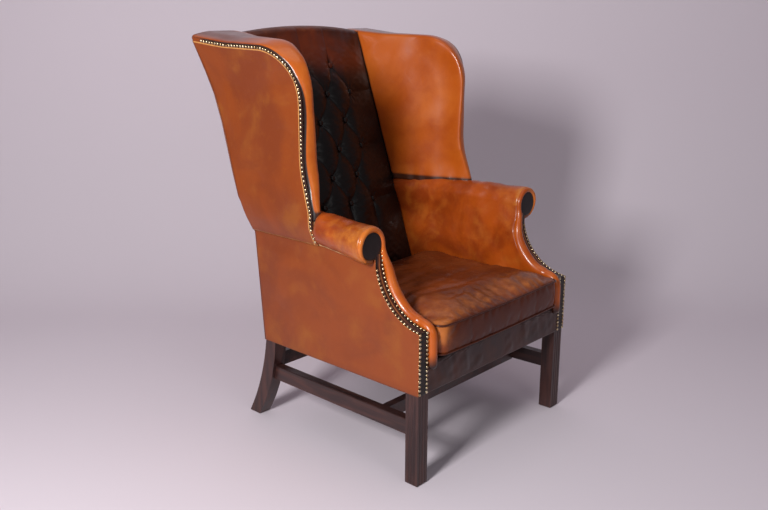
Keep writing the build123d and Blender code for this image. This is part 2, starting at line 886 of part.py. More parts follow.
def tuft(x, z):
    """Depth of the sewn tufts: full at a button, part way along folds and pleats, none between."""
    a = 2 * x / column_pitch
    b = (z - low_row) / row_pitch
    if abs(a) > 2:
        fade = max(0, 1 - (abs(a) - 2) * fade_rows_share)
        fold = (1 - abs(sin(pi * b / 2)) ** tuft_power) * fade if -1 < b < row_count else 0
        return tuft_depth * fold * pleat_share * (2 - 2 * pleat_share * min(1, abs(a) - 2))
    if b > row_count - 1:
        fade = max(0, 1 - (b - row_count + 1) * fade_rows_share)
        return tuft_depth * (1 - abs(cos(pi * a / 2)) ** tuft_power) * fade
    if b < 0:
        fade = max(pleat_share, 1 + b * fade_rows_share / 2)
        return tuft_depth * (1 - abs(sin(pi * a / 2)) ** tuft_power) * fade
    one = abs(sin(pi * (a + b) / 2))
    two = abs(sin(pi * (a - b) / 2))
    return tuft_depth * (1 - fold_share * max(one, two) - (1 - fold_share) * min(one, two))


def back_front(x, z):
    """Depth of the finished front surface of the inside back."""
    return seam_d(z) - crown(x, z) + tuft(x, z)


def back_columns(z):
    """X positions of the points across one level section."""
    half = seam_half(z)
    count = 3 * steps_per_pitch
    inner = [column_pitch / 2 / steps_per_pitch * i for i in range(-count, count + 1)]
    return [-half, back_seam_margin - half] + inner + [half - back_seam_margin, half]


def felt_back(z, gap):
    """Points across the smooth back of the felt at a height, moved back by a gap."""
    right = []
    for across, depth in zip(felt_column_shares, felt_depth_shares):
        x = across * seam_half(z)
        right.append((x, at(seam_d(z) - crown(x, z) + hide + depth * tuft_depth + gap)))
    return [(-x, y) for x, y in reversed(right[1:])] + right


back_levels = []
for i in range(low_step_count):
    low_end = low_row - 2 * row_pitch / steps_per_pitch
    back_levels.append(back_base + (low_end - back_base) * i / low_step_count)
for i in range(-2, int(top_rows_share * steps_per_pitch) + 1):
    back_levels.append(low_row + row_pitch / steps_per_pitch * i)


def level_loft(outline):
    """A ruled solid through an outline at each level of the inside back."""
    sections = []
    for z in back_levels:
        with BuildSketch(Plane.XY.offset(z)) as level:
            with BuildLine():
                Polyline(outline(z), close=True)
            make_face()
        sections.append(level.sketch)
    loft(sections, ruled=True)


def hide_outline(z):
    """Level section of the buttoned hide with its felt."""
    front = [(x, at(back_front(x, z))) for x in back_columns(z)]
    return front + list(reversed(felt_back(z, 0)))


def stuffing_outline(z):
    """Level section of the stuffing between the felt and the canvas."""
    lining = at(rear_d(z) - lining_depth)
    return felt_back(z, slack) + [(seam_half(z), lining), (-seam_half(z), lining)]


with BuildPart() as back_stuffing:
    level_loft(stuffing_outline)

with BuildPart() as back_hide:
    level_loft(hide_outline)


def crest_cap(inset):
    """Rolled top of the inside back, over the crest rail, through side-to-side sections."""
    sections = []
    half = seam_half(back_top)
    for share in crest_slices:
        x = share * (half - inset / 2)
        top = crest_z(share * half) - inset
        front = seam_d(back_top) - crown(x, back_top) + inset
        shoulder = top - crest_round
        brow = front + upper_rake * (shoulder - back_top)
        rear = rear_d(shoulder)
        with BuildSketch(Plane.YZ.offset(x)) as slice_face:
            with BuildLine():
                face_line = Line((at(front), back_top), (at(brow), shoulder))
                over = ThreePointArc(face_line @ 1, (at((front + rear) / 2), top), (at(rear), shoulder))
                Polyline(over @ 1, (at(rear_d(back_top)), back_top), face_line @ 0)
            make_face()
        sections.append(slice_face.sketch)
    loft(sections, ruled=True)
    split(bisect_by=seam_plane, keep=Keep.BOTTOM)
    split(bisect_by=left_seam_plane, keep=Keep.BOTTOM)


with BuildPart() as cap_outer:
    crest_cap(0)

with BuildPart() as cap_inner:
    crest_cap(hide)

with BuildPart() as inside_back:
    add(cap_outer.part)
    add(cap_inner.part, mode=Mode.SUBTRACT)
    add(crest_rail.part, mode=Mode.SUBTRACT)
    add(back_hide.part)

with BuildPart() as crest_stuffing:
    add(cap_inner.part)
    add(crest_rail.part, mode=Mode.SUBTRACT)

# Covered buttons, each seated at the bottom of its tuft
button_radius = 9
button_stem = 5.6
button_foot = 0.4
button_dome = 4.5
# Domed heads: shares of the radius and of the rise from the rim to the flat at the crown
dome_shares = [(1, 0), (0.78, 0.66), (0.34, 1)]


def headed(radius, base, rise, foot):
    """Turn a domed head on a tapering foot about the Z axis."""
    profile = [(0, 0), (foot, 0)] if base else [(0, 0)]
    profile += [(radius * across, base + rise * up) for across, up in dome_shares]
    with BuildSketch(Plane.XZ) as half:
        with BuildLine():
            Polyline(profile + [(0, base + rise)], close=True)
        make_face()
    revolve(half.sketch, axis=Axis.Z)


with BuildPart() as button:
    headed(button_radius, button_stem, button_dome, button_foot)

button_places = []
for row in range(row_count):
    z = low_row + row_pitch * row
    columns = (-column_pitch, 0, column_pitch) if row % 2 == 0 else (-column_pitch / 2, column_pitch / 2)
    for x in columns:
        facing = Vector(0, -1, upper_rake).normalized()
        seat_point = Vector(x, at(back_front(x, z)), z) + facing * slack
        button_places.append(Plane(origin=seat_point, x_dir=(1, 0, 0), z_dir=facing))

with BuildPart() as back_buttons:
    with Locations(*button_places):
        add(button.part)

# Back webbing and canvas, tacked to the front of the back frame
back_strip_width = 50
back_strip_pitch = 96
back_strip_count = 5
back_strip_base = stay_rail_base + webbing
back_strip_top = crest_rail_base + crest_round
canvas_half = 232


def back_sheet(front, thickness, half, center=0):
    """A sheet that follows the frame's front faces across the kink."""
    with BuildSketch(Plane.YZ.offset(center - half)) as strip:
        with BuildLine():
            heights = (back_strip_base, back_kink, back_strip_top)
            near = [(at(rear_d(z) - front), z) for z in heights]
            far = [(at(rear_d(z) - front - thickness), z) for z in reversed(heights)]
            Polyline(near + far, close=True)
        make_face()
    extrude(strip.sketch, amount=2 * half)


with BuildPart() as back_webbing:
    for i in range(back_strip_count):
        place = (i - (back_strip_count - 1) / 2) * back_strip_pitch
        back_sheet(post_depth, webbing, back_strip_width / 2, place)

with BuildPart() as back_canvas:
    back_sheet(post_depth + webbing, canvas, canvas_half)

# Outside back: one hide panel over the whole rear, narrow at the rail and flared at the top
panel_corner_x = ridge_x
panel_corner_drop = 17
panel_corner_z = crest_height - panel_corner_drop
panel_middle_z = crest_height - crest_round

with BuildPart() as outside_back:
    with BuildSketch(Plane.XZ) as back_view:
        with BuildLine():
            rising = [(side_x(seat_run) + hide, cover_base), (side_x(rear_d(back_kink)) + hide, back_kink)]
            rising += [(rear_x, level_z) for level_z, front_x, rear_x in wing_levels[1:-1]]
            rising.append((panel_corner_x, panel_corner_z))
            right_edge = Polyline(rising)
            top_edge = ThreePointArc(right_edge @ 1, (0, panel_middle_z), (-panel_corner_x, panel_corner_z))
            left_edge = Polyline([(-x, z) for x, z in reversed(rising)])
            Line(left_edge @ 1, right_edge @ 0)
        make_face()
    extrude(back_view.sketch, amount=2 * overrun, both=True)
    with BuildSketch(Plane.YZ) as sheet_view:
        with BuildLine():
            heights = (cover_base, back_kink, crest_height)
            near = [(at(rear_d(z)), z) for z in heights]
            far = [(at(rear_d(z) + hide), z) for z in reversed(heights)]
            Polyline(near + far, close=True)
        make_face()
    extrude(sheet_view.sketch, amount=2 * overrun, both=True, mode=Mode.INTERSECT)

# Seat: webbing under the rails, springs lashed under canvas, stuffing, border and platform cloth
seat_strip_width = 50
seat_strip_pitch = 110
seat_strip_count = 5
seat_strip_margin = 4
seat_center_d = seat_run / 2 - leg_side / 4

with BuildPart() as seat_webbing:
    for i in range(seat_strip_count):
        place = (i - (seat_strip_count - 1) / 2) * seat_strip_pitch
        with BuildSketch(Plane.XY.offset(rail_base - webbing)):
            with Locations((place, at(seat_run / 2))):
                Rectangle(seat_strip_width, seat_run - 2 * seat_strip_margin)
        extrude(amount=webbing)
        cross_d = seat_center_d + place
        with BuildSketch(Plane.XY.offset(rail_base - 2 * webbing)):
            with Locations((0, at(cross_d))):
                Rectangle(2 * side_x(cross_d + seat_strip_width) - 2 * seat_strip_margin, seat_strip_width)
        extrude(amount=webbing)


def seat_sheet(base, thickness):
    """A cloth sheet over the whole seat frame, just inside its outer edges."""
    edge = seat_strip_margin / 2
    front_x = side_x(0) - edge
    rear_x = side_x(seat_run) - edge
    plan_solid(
        [(front_x, edge), (-front_x, edge), (-rear_x, seat_run - edge), (rear_x, seat_run - edge)],
        base,
        thickness,
    )


with BuildPart() as dust_cover:
    seat_sheet(cover_base, cambric)
    both_sides(front_leg)
    both_sides(rear_leg)

spring_wire = 1.8
spring_end_radius = 42
spring_waist_radius = 30
spring_turns = 4


def spring_point(turn):
    """Point and direction on the spring's coil after a number of turns."""
    share = turn / spring_turns
    swell = spring_waist_radius + (spring_end_radius - spring_waist_radius) * (2 * share - 1) ** 2
    growth = 4 * (spring_end_radius - spring_waist_radius) * (2 * share - 1) / spring_turns
    rise = (rail_height - 2 * spring_wire) / spring_turns
    angle = 2 * pi * turn
    point = Vector(swell * cos(angle), swell * sin(angle), spring_wire + rise * turn)
    heading = Vector(
        growth * cos(angle) - 2 * pi * swell * sin(angle),
        growth * sin(angle) + 2 * pi * swell * cos(angle),
        rise,
    )
    return point, heading.normalized()


def biarc(start, start_way, end, end_way):
    """Two tangent arcs that join two directed points."""
    chord = end - start
    along = chord.dot(start_way + end_way)
    bend = 2 * (1 - start_way.dot(end_way))
    reach = (-along + (along**2 + bend * chord.dot(chord)) ** 0.5) / bend
    first = start + start_way * reach
    last = end - end_way * reach
    middle = (first + last) * 0.5
    TangentArc(start, middle, tangent=start_way)
    TangentArc(middle, end, tangent=(last - first).normalized())


with BuildPart() as spring:
    with BuildLine() as coil:
        for quarter in range(4 * spring_turns):
            biarc(*spring_point(quarter / 4), *spring_point((quarter + 1) / 4))
    coil_start, coil_way = spring_point(0)
    with BuildSketch(Plane(origin=coil_start, z_dir=coil_way)):
        Circle(spring_wire)
    sweep(path=coil.line)

with BuildPart() as seat_springs:
    with Locations(Location((0, at(seat_center_d), rail_base))):
        with GridLocations(seat_strip_pitch, seat_strip_pitch, 3, 3):
            add(spring.part)

with BuildPart() as seat_canvas:
    seat_sheet(rail_top, canvas)
    both_sides(arm_post)
    both_sides(rear_leg)

border_return = 80
deck_rear_d = 556
deck_edge_round = 7

with BuildPart() as seat_stuffing:
    plan_solid(
        [
            (arm_panel_front, 0),
            (-arm_panel_front, 0),
            (-arm_panel_rear, deck_rear_d),
            (arm_panel_rear, deck_rear_d),
        ],
        pad_base,
        deck_height - hide - pad_base,
    )
    both_sides(arm_outer)
    front_edges = edges().filter_by(Axis.X).group_by(Axis.Y)[0]
    fillet(front_edges.sort_by(Axis.Z)[-1], deck_edge_round)

with BuildPart() as front_border:
    with BuildSketch(Plane.YZ) as border_view:
        with BuildLine() as border_line:
            outer_run = FilletPolyline(
                (at(-hide), cover_base),
                (at(-hide), deck_height),
                (at(border_return), deck_height),
                radius=deck_edge_round + hide,
            )
            inner_run = FilletPolyline(
                (at(0), cover_base),
                (at(0), deck_height - hide),
                (at(border_return), deck_height - hide),
                radius=deck_edge_round,
            )
            Line(outer_run @ 0, inner_run @ 0)
            Line(outer_run @ 1, inner_run @ 1)
        make_face()
    extrude(border_view.sketch, amount=facing_inner_x, both=True)
    both_sides(arm_outer)
    for side in (1, -1):
        plan_solid(
            [
                (side * arm_panel_front, -hide),
                (side * facing_inner_x, -hide),
                (side * facing_inner_x, border_return),
                (side * arm_panel_front, border_return),
            ],
            rail_top,
            deck_height,
            mode=Mode.SUBTRACT,
        )

with BuildPart() as platform_cloth:
    plan_solid(
        [
            (arm_panel_front, border_return),
            (-arm_panel_front, border_return),
            (-arm_panel_rear, deck_rear_d),
            (arm_panel_rear, deck_rear_d),
        ],
        deck_height - hide,
        hide,
    )
    both_sides(arm_outer)

# Loose seat cushion: crowned, with drawn-in sides and two welts
cushion_front_half = 279
cushion_rear_half = 268
cushion_rear_d = 478
cushion_base = deck_height + slack
cushion_peak = 462
cushion_draw = 4
cushion_front_swell = 5
cushion_corner = 24
welt_radius = 2.6
welt_chamfer = 0.87
cushion_height = cushion_peak - cushion_base
# Sections from the bottom up: share of the height, and inset as a share of half the front width
cushion_section_shares = [
    (0, 0.057),
    (0.077, 0),
    (0.41, -0.01),
    (0.743, 0),
    (0.854, 0.079),
    (0.931, 0.222),
    (0.983, 0.394),
    (1, 0.573),
]
cushion_seam_shares = [0.077, 0.743]


def cushion_outline(inset):
    """Plan of the cushion: four slightly bowed sides with rounded corners, inside a sketch."""
    front = -cushion_lead + cushion_front_swell + inset
    rear = cushion_rear_d - inset
    wide = cushion_front_half - inset
    narrow = cushion_rear_half - inset
    fade = 1 - inset / cushion_rear_half
    side_middle = (wide + narrow) / 2 - cushion_draw * fade
    with BuildLine() as plan:
        ThreePointArc((-wide, at(front)), (0, at(front - cushion_front_swell * fade)), (wide, at(front)))
        ThreePointArc((wide, at(front)), (side_middle, at((front + rear) / 2)), (narrow, at(rear)))
        ThreePointArc((narrow, at(rear)), (0, at(rear - cushion_draw * fade)), (-narrow, at(rear)))
        ThreePointArc((-narrow, at(rear)), (-side_middle, at((front + rear) / 2)), (-wide, at(front)))
    make_face(plan.line)
    fillet(vertices(), cushion_corner)


def cushion_body(skin):
    """The cushion's volume, shrunk by a skin thickness."""
    sections = []
    for height_share, inset_share in cushion_section_shares:
        z = cushion_base + height_share * cushion_height
        if height_share == 0:
            z += skin
        if height_share > cushion_seam_shares[-1]:
            z -= skin
        with BuildSketch(Plane.XY.offset(z)) as section:
            cushion_outline(inset_share * cushion_front_half + skin)
        sections.append(section.sketch)
    loft(sections, ruled=True)


with BuildPart() as cushion_core:
    cushion_body(hide)

with BuildPart() as cushion_cover:
    cushion_body(0)
    add(cushion_core.part, mode=Mode.SUBTRACT)

with BuildPart() as cushion_welts:
    for seam_share in cushion_seam_shares:
        ring_base = cushion_base + seam_share * cushion_height - welt_radius
        with BuildSketch(Plane.XY.offset(ring_base)) as ring:
            cushion_outline(-welt_radius / 2)
        extrude(ring.sketch, amount=2 * welt_radius)
    chamfer(edges().filter_by(GeomType.LINE, reverse=True), welt_chamfer)
    add(cushion_cover.part, mode=Mode.SUBTRACT)
    add(cushion_core.part, mode=Mode.SUBTRACT)

# Nails: dome-headed, in close rows along the facings and the wing edges
nail_radius = 4.7
nail_height = 2.4
nail_pitch = 11.5
nail_lift = 0.3
nail_inset = 5
wing_nail_inset = 21
wing_nail_end_d = 770

with BuildPart() as nail:
    headed(nail_radius, 0, nail_height, 0)


def wing_x(d, z):
    """X of the outer surface of the wing's hide at a depth and height."""
    back = (d - arm_curve_d) / (wing_level_rear - arm_curve_d)
    for low, high in zip(wing_levels, wing_levels[1:]):
        if z <= high[0]:
            up = (z - low[0]) / (high[0] - low[0])
            front_x = low[1] + (high[1] - low[1]) * up
            rear_x = low[2] + (high[2] - low[2]) * up
            return front_x + (rear_x - front_x) * back


with BuildLine() as wing_line:
    FilletPolyline(*wing_front, radius=wing_radii)
wing_run = Wire(wing_line.edges())
wing_nail_places = []
for i in range(1, int(wing_run.length / nail_pitch)):
    spot = wing_run.position_at(i * nail_pitch / wing_run.length)
    way = wing_run.tangent_at(i * nail_pitch / wing_run.length)
    d = spot.X + way.Y * wing_nail_inset
    z = spot.Y - way.X * wing_nail_inset
    if d < wing_nail_end_d:
        lean_d = (wing_x(d + nail_radius, z) - wing_x(d - nail_radius, z)) / (2 * nail_radius)
        lean_z = (wing_x(d, z + nail_radius) - wing_x(d, z - nail_radius)) / (2 * nail_radius)
        out = Vector(1, -lean_d, -lean_z).normalized()
        wing_nail_places.append(Plane(origin=Vector(wing_x(d, z), at(d), z) + out * nail_lift, z_dir=out))

with BuildPart() as wing_nails:
    with Locations(*wing_nail_places):
        add(nail.part)


def outer_row_x(d):
    """X of the facing's outer row of nails."""
    return side_x(d) + hide - nail_inset


def inner_row_x(d):
    """X of the facing's inner row of nails, straight up the inner edge."""
    return facing_inner_x + nail_inset


with BuildLine() as facing_line:
    arm_front(-hide, cover_base, roll_z)
facing_run = Wire(facing_line.edges())
facing_nail_places = []
for row_x, row_top in ((outer_row_x, arm_curve_top), (inner_row_x, roll_z - nail_pitch)):
    for i in range(int(facing_run.length / nail_pitch)):
        along = (i + 1 / 2) * nail_pitch / facing_run.length
        spot = facing_run.position_at(along)
        way = facing_run.tangent_at(along)
        if spot.Y < row_top - nail_radius:
            out = Vector(0, -way.Y, way.X)
            origin = Vector(row_x(spot.X - leg_face), spot.X, spot.Y) + out * nail_lift
            facing_nail_places.append(Plane(origin=origin, z_dir=out))

with BuildPart() as facing_nails:
    with Locations(*facing_nail_places):
        add(nail.part)

save(back_buttons.part, "back_buttons")
save(back_webbing.part, "back_webbing")
save(back_canvas.part, "back_canvas")
save(outside_back.part, "outside_back")
save(seat_webbing.part, "seat_webbing")
save(dust_cover.part, "dust_cover")
save(seat_springs.part, "seat_springs")
save(seat_canvas.part, "seat_canvas")
save(seat_stuffing.part, "seat_stuffing")
save(front_border.part, "front_border")
save(platform_cloth.part, "platform_cloth")
save(cushion_core.part, "cushion_core")
save(cushion_cover.part, "cushion_cover")
save(cushion_welts.part, "cushion_welts")
save_pair(wing_nails, "wing_nails")
save_pair(facing_nails, "facing_nails")

save(back_stuffing.part, "back_stuffing")
save(inside_back.part, "inside_back")
save(crest_stuffing.part, "crest_stuffing")

save_pair(arm_stuffing, "arm_stuffing")
save_pair(inside_arm, "inside_arm")
save_pair(arm_facing, "arm_facing")
save_pair(outside_arm, "outside_arm")
save_pair(inside_wing, "inside_wing")
save_pair(wing_stuffing, "wing_stuffing")
save_pair(outside_wing, "outside_wing")

save_pair(front_leg, "front_leg")
save_pair(rear_leg, "rear_leg")
save_pair(side_stretcher_cut, "side_stretcher")
save(medial_stretcher.part, "medial_stretcher")
save(rear_stretcher.part, "rear_stretcher")
save(front_rail.part, "front_rail")
save(rear_rail.part, "rear_rail")
save_pair(side_rail, "side_rail")
save(corner_blocks.part, "corner_blocks")
save_pair(back_post, "back_post")
save(crest_rail.part, "crest_rail")
save(back_stay_rail.part, "back_stay_rail")
save_pair(arm_post, "arm_post")
save_pair(arm_board, "arm_board")
save_pair(wing_post, "wing_post")
save_pair(wing_rail, "wing_rail")
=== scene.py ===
import bpy
import bmesh
import numpy as np
from mathutils import Matrix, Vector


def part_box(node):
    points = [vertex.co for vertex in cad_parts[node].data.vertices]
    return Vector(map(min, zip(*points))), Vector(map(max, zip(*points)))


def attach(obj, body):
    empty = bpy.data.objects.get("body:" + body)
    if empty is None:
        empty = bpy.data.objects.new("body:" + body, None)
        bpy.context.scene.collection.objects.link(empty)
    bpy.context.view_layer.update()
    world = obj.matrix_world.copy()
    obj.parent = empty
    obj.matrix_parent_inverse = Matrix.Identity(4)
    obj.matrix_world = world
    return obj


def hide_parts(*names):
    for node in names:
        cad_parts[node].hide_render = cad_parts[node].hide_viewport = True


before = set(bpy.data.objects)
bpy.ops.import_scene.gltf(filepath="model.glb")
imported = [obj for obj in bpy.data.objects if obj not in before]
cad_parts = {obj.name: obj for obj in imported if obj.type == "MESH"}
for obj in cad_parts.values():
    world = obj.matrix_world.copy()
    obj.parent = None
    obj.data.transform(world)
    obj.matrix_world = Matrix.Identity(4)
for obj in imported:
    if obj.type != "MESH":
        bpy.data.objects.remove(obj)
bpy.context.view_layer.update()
print("frame loaded")

# Sizes shared with the CAD source, in millimetres. Depths run back from the front leg faces.
chair = {
    "halfFront": 350,
    "sideSlope": 21 / 606,
    "seatRun": 606,
    "coverBase": 258,
    "kink": 584,
    "lowerRake": 0.092,
    "upperRake": 0.298,
    "crestTop": 1163,
    "crestHalf": 330,
    "crestDrop": 32,
    "armTop": 683,
    "hide": 2.5,
    "seamX": 254,
    "seamNarrowing": 0.0434,
    "seamDepth": 45,
}
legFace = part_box("front_leg_right")[0].y * 1000


def rearD(z):
    # depth of the frame's rear faces: a slight rake up to the kink, a stronger one above it
    lower = np.minimum(z, chair["kink"]) - chair["coverBase"]
    upper = np.maximum(z, chair["kink"]) - chair["kink"]
    return chair["seatRun"] + chair["lowerRake"] * lower + chair["upperRake"] * upper


def sideX(d):
    # the seat narrows evenly towards the back
    return chair["halfFront"] - chair["sideSlope"] * d


def seamD(z):
    # depth of the seam between inside back and wing: the upper rake carried straight down
    return rearD(chair["kink"]) + chair["upperRake"] * (z - chair["kink"]) - chair["seamDepth"]


def seamHalf(z):
    # half the width between the seams, narrowing evenly with height
    return chair["seamX"] - chair["seamNarrowing"] * (z - chair["armTop"])


def crestZ(x):
    # height of the crest: a parabola that drops from the middle to the corners
    return chair["crestTop"] - chair["crestDrop"] * (x / chair["crestHalf"]) ** 2


def smoothTable(at, places, values):
    # cubic curve through a table of values
    places = np.asarray(places, float)
    values = np.asarray(values, float)
    slope = np.gradient(values, places)
    i = np.clip(np.searchsorted(places, at, side="right") - 1, 0, len(places) - 2)
    width = places[i + 1] - places[i]
    t = np.clip((at - places[i]) / width, 0, 1)
    low = (1 + 2 * t) * (1 - t) ** 2 * values[i] + t * (1 - t) ** 2 * width * slope[i]
    return low + eased(t) * values[i + 1] - t**2 * (1 - t) * width * slope[i + 1]


wingLevels = {
    "z": [588, 640, 690, 760, 900, 980, 1040, 1085, 1125, 1165],
    "front": [349, 368, 358, 351, 349, 349, 356, 370, 391, 404],
    "rear": [331, 348, 362, 363, 361, 366, 378, 389, 399, 404],
    "run": (152, 830),
}


def wingX(d, z):
    # outer face of the wing: a front and a rear curve over the height, joined by straight lines
    front = smoothTable(z, wingLevels["z"], wingLevels["front"])
    rear = smoothTable(z, wingLevels["z"], wingLevels["rear"])
    start, end = wingLevels["run"]
    return front + (rear - front) * (d - start) / (end - start)


def wave(points, length, seed, count=12):
    # sum of sine waves in random directions, about one unit high
    rng = np.random.default_rng(seed)
    total = np.zeros(points.shape[:-1])
    for turn in range(count):
        way = rng.normal(size=3)
        way *= 2 * np.pi / np.linalg.norm(way) / (length * rng.uniform(0.7, 1.5))
        total += np.sin(points @ way + rng.uniform(0, 2 * np.pi))
    return total * (2 / count) ** 0.5


def unit(value):
    # held between 0 and 1
    return np.clip(value, 0, 1)


def eased(share):
    # slow start and slow end: three squares less two cubes
    return share * share * (3.0 - 2.0 * share)


def hump(away, width):
    # bell curve: 1 at nil, next to nothing two widths away
    return np.exp(-((away / width) ** 2.0))


def stacked(*parts):
    # coordinates of matching shapes joined into points
    return np.stack(np.broadcast_arrays(*parts), -1)


def unitWay(ways):
    return ways / np.linalg.norm(ways, axis=-1, keepdims=True)


def lengths(path, least=0.0):
    # distance run at each point of a polyline
    return np.concatenate([[0], np.cumsum(np.linalg.norm(np.diff(path, axis=0), axis=1) + least)])


def follow(path, run, at):
    # points of a polyline at given distances
    return stacked(*(np.interp(at, run, column) for column in path.T))


def spaced(path, shares):
    # points of a polyline at given shares of its length
    run = lengths(path)
    return follow(path, run, np.asarray(shares) * run[-1])


def resample(path, step):
    # even spacing along a polyline
    return spaced(path, np.linspace(0, 1, max(2, int(round(lengths(path)[-1] / step)) + 1)))


def filletPath(points, radii, step):
    # polyline whose corners are rounded by arcs of given radii
    points = np.asarray(points, float)
    path = [points[0]]
    for before, corner, after, radius in zip(points, points[1:], points[2:], radii):
        a, b = unitWay(before - corner), unitWay(after - corner)
        half = np.arccos(np.clip(a @ b, -1, 1)) / 2
        middle = corner + unitWay(a + b) * radius / np.sin(half)
        va = corner + a * radius / np.tan(half) - middle
        vb = corner + b * radius / np.tan(half) - middle
        turn = np.pi - 2 * half
        for t in np.linspace(0, 1, max(3, int(turn * radius / step))):
            path.append(middle + (np.sin((1 - t) * turn) * va + np.sin(t * turn) * vb) / np.sin(turn))
    path.append(points[-1])
    return resample(np.array(path), step)


def arcThrough(first, middle, last, count):
    # circle through three points, from the first to the last
    a = np.array([middle - first, last - first]) * 2
    b = np.array([middle @ middle - first @ first, last @ last - first @ first])
    centre = np.linalg.solve(a, b)
    angles = np.unwrap([np.arctan2(*(p - centre)[::-1]) for p in (first, middle, last)])
    at = np.linspace(angles[0], angles[2], count)
    return centre + np.linalg.norm(first - centre) * stacked(np.cos(at), np.sin(at))


def towards(path):
    # unit direction along a polyline
    return unitWay(np.gradient(path, axis=0))


def inwards(way):
    # square to a direction in the plane, to its right
    return stacked(way[:, 1], -way[:, 0])


def softened(path, width):
    # rounds a polyline's corners by a running average that keeps its ends
    reach = int(np.ceil(width * 2.5))
    if reach < 1:
        return path
    kernel = np.exp(-0.5 * (np.arange(-reach, reach + 1) / max(width, 0.3)) ** 2)
    kernel /= kernel.sum()
    head = 2 * path[0] - path[reach:0:-1]
    tail = 2 * path[-1] - path[-2 : -reach - 2 : -1]
    long = np.vstack([head, path, tail])
    return stacked(*(np.convolve(column, kernel, "valid") for column in long.T))


def coons(left, right, bottom, top, u, v):
    # patch between four edges: left and right run upwards over v, bottom and top run rightwards over u
    v = np.asarray(v)[:, None, None]
    u = np.asarray(u)[None, :, None]
    across = (1 - u) * left[:, None] + u * right[:, None]
    along = (1 - v) * bottom[None] + v * top[None]
    low = (1 - u) * bottom[0] + u * bottom[-1]
    high = (1 - u) * top[0] + u * top[-1]
    return across + along - (1 - v) * low - v * high


def denser(count, share, extra):
    # 0 to 1 with extra points in the first share
    return np.concatenate([np.linspace(0, share, extra)[:-1], np.linspace(share, 1, count)])


def awayFrom(places, line):
    # distance of each grid point to the nearest point of a line in the same plane
    line = resample(line, 1.5)
    flat = places.reshape(-1, 1, 2)
    return np.linalg.norm(flat - line[None], axis=2).min(1).reshape(places.shape[:-1])


def mirrored(points, side):
    # right-hand shapes serve the left by changing the sign of x
    points = np.array(points, float)
    points[..., 0] *= side
    return points


def gridQuads(rows, columns, wrapRows=False, wrapColumns=False):
    # corner numbers of a grid's four-sided faces, row by row
    spans = np.arange(rows - (not wrapRows)), np.arange(columns - (not wrapColumns))
    r, c = np.meshgrid(*spans, indexing="ij")
    r2, c2 = (r + 1) % rows, (c + 1) % columns
    return stacked(r * columns + c, r * columns + c2, r2 * columns + c2, r2 * columns + c).reshape(-1, 4)


def surface(name, grids, material, side=1, weld=False):
    # Mesh from grids of (x, depth, height) points. "inside" lies behind each point, so faces turn outwards;
    # "core" is a hidden point that closes the grid's open rim.
    points, quads, fans, marks = [], [], [np.zeros((0, 3), int)], {"wearAndHighlight": [], "dark": []}
    start = 0
    for grid in grids:
        place = mirrored(grid["points"], side)
        rows, columns = place.shape[:2]
        own = gridQuads(rows, columns, grid.get("wrapRows", False), grid.get("wrapColumns", False))
        behind = np.broadcast_to(mirrored(grid["inside"], side), place.shape).reshape(-1, 3)
        flat = place.reshape(-1, 3)
        corner = flat[own]
        normal = np.cross(corner[:, 2] - corner[:, 0], corner[:, 3] - corner[:, 1])
        turn = -1 if (normal * (corner - behind[own]).mean(1)).sum() < 0 else 1
        extra = 0
        if "core" in grid:
            extra = 1
            index = np.arange(rows * columns).reshape(rows, columns)
            rim = np.concatenate([index[0, :-1], index[:-1, -1], index[-1, :0:-1], index[:0:-1, 0]])
            fans.append(stacked(np.roll(rim, -1), rim, rows * columns)[:, ::turn] + start)
            flat = np.vstack([flat, mirrored(grid["core"], side)])
        quads.append(own[:, ::turn] + start)
        points.append(flat)
        for key in marks:
            value = np.broadcast_to(grid.get(key, 0.0), (rows, columns)).ravel()
            marks[key].append(np.concatenate([value, np.zeros(extra)]))
        start += len(flat)
    return buildMesh(name, np.vstack(points), np.vstack(quads), np.vstack(fans), marks, material, weld)


def linked(name, data):
    # an object in the scene, at the origin
    obj = bpy.data.objects.new(name, data)
    bpy.context.scene.collection.objects.link(obj)
    return obj


def buildMesh(name, points, quads, triangles, marks, material, weld=False):
    # millimetres behind the leg faces become metres in the frame
    place = points / 1000
    place[:, 1] += legFace / 1000
    mesh = bpy.data.meshes.new(name)
    corners = np.concatenate([quads.ravel(), triangles.ravel()]).astype(np.int32)
    starts = np.concatenate([np.arange(len(quads)) * 4, len(quads) * 4 + np.arange(len(triangles)) * 3])
    mesh.vertices.add(len(place))
    mesh.vertices.foreach_set("co", place.ravel())
    mesh.loops.add(len(corners))
    mesh.loops.foreach_set("vertex_index", corners)
    mesh.polygons.add(len(starts))
    mesh.polygons.foreach_set("loop_start", starts.astype(np.int32))
    mesh.update(calc_edges=True)
    for key, values in marks.items():
        mark = mesh.attributes.new(key, "FLOAT", "POINT")
        mark.data.foreach_set("value", np.concatenate(values).astype(np.float32))
    if weld:
        work = bmesh.new()
        work.from_mesh(mesh)
        bmesh.ops.remove_doubles(work, verts=work.verts, dist=2e-6)
        work.to_mesh(mesh)
        work.free()
    mesh.polygons.foreach_set("use_smooth", np.ones(len(mesh.polygons), bool))
    mesh.materials.append(material)
    return linked(name, mesh)


def fit(obj, stands=(), body="chair", thick=0):
    # puts a finished piece on its body, with the nodes it stands for
    if thick:
        wall = obj.modifiers.new("hide", "SOLIDIFY")
        wall.thickness = thick / 1000
        wall.offset = -1
    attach(obj, body)
    if stands:
        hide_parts(*stands)
    return obj


def circle(first, second, sides):
    # unit circles in the planes of two lists of directions
    turn = np.linspace(0, 2 * np.pi, sides, endpoint=False)
    return first[:, None] * np.cos(turn)[None, :, None] + second[:, None] * np.sin(turn)[None, :, None]


endRings = 6  # circles in a tube's rounded end


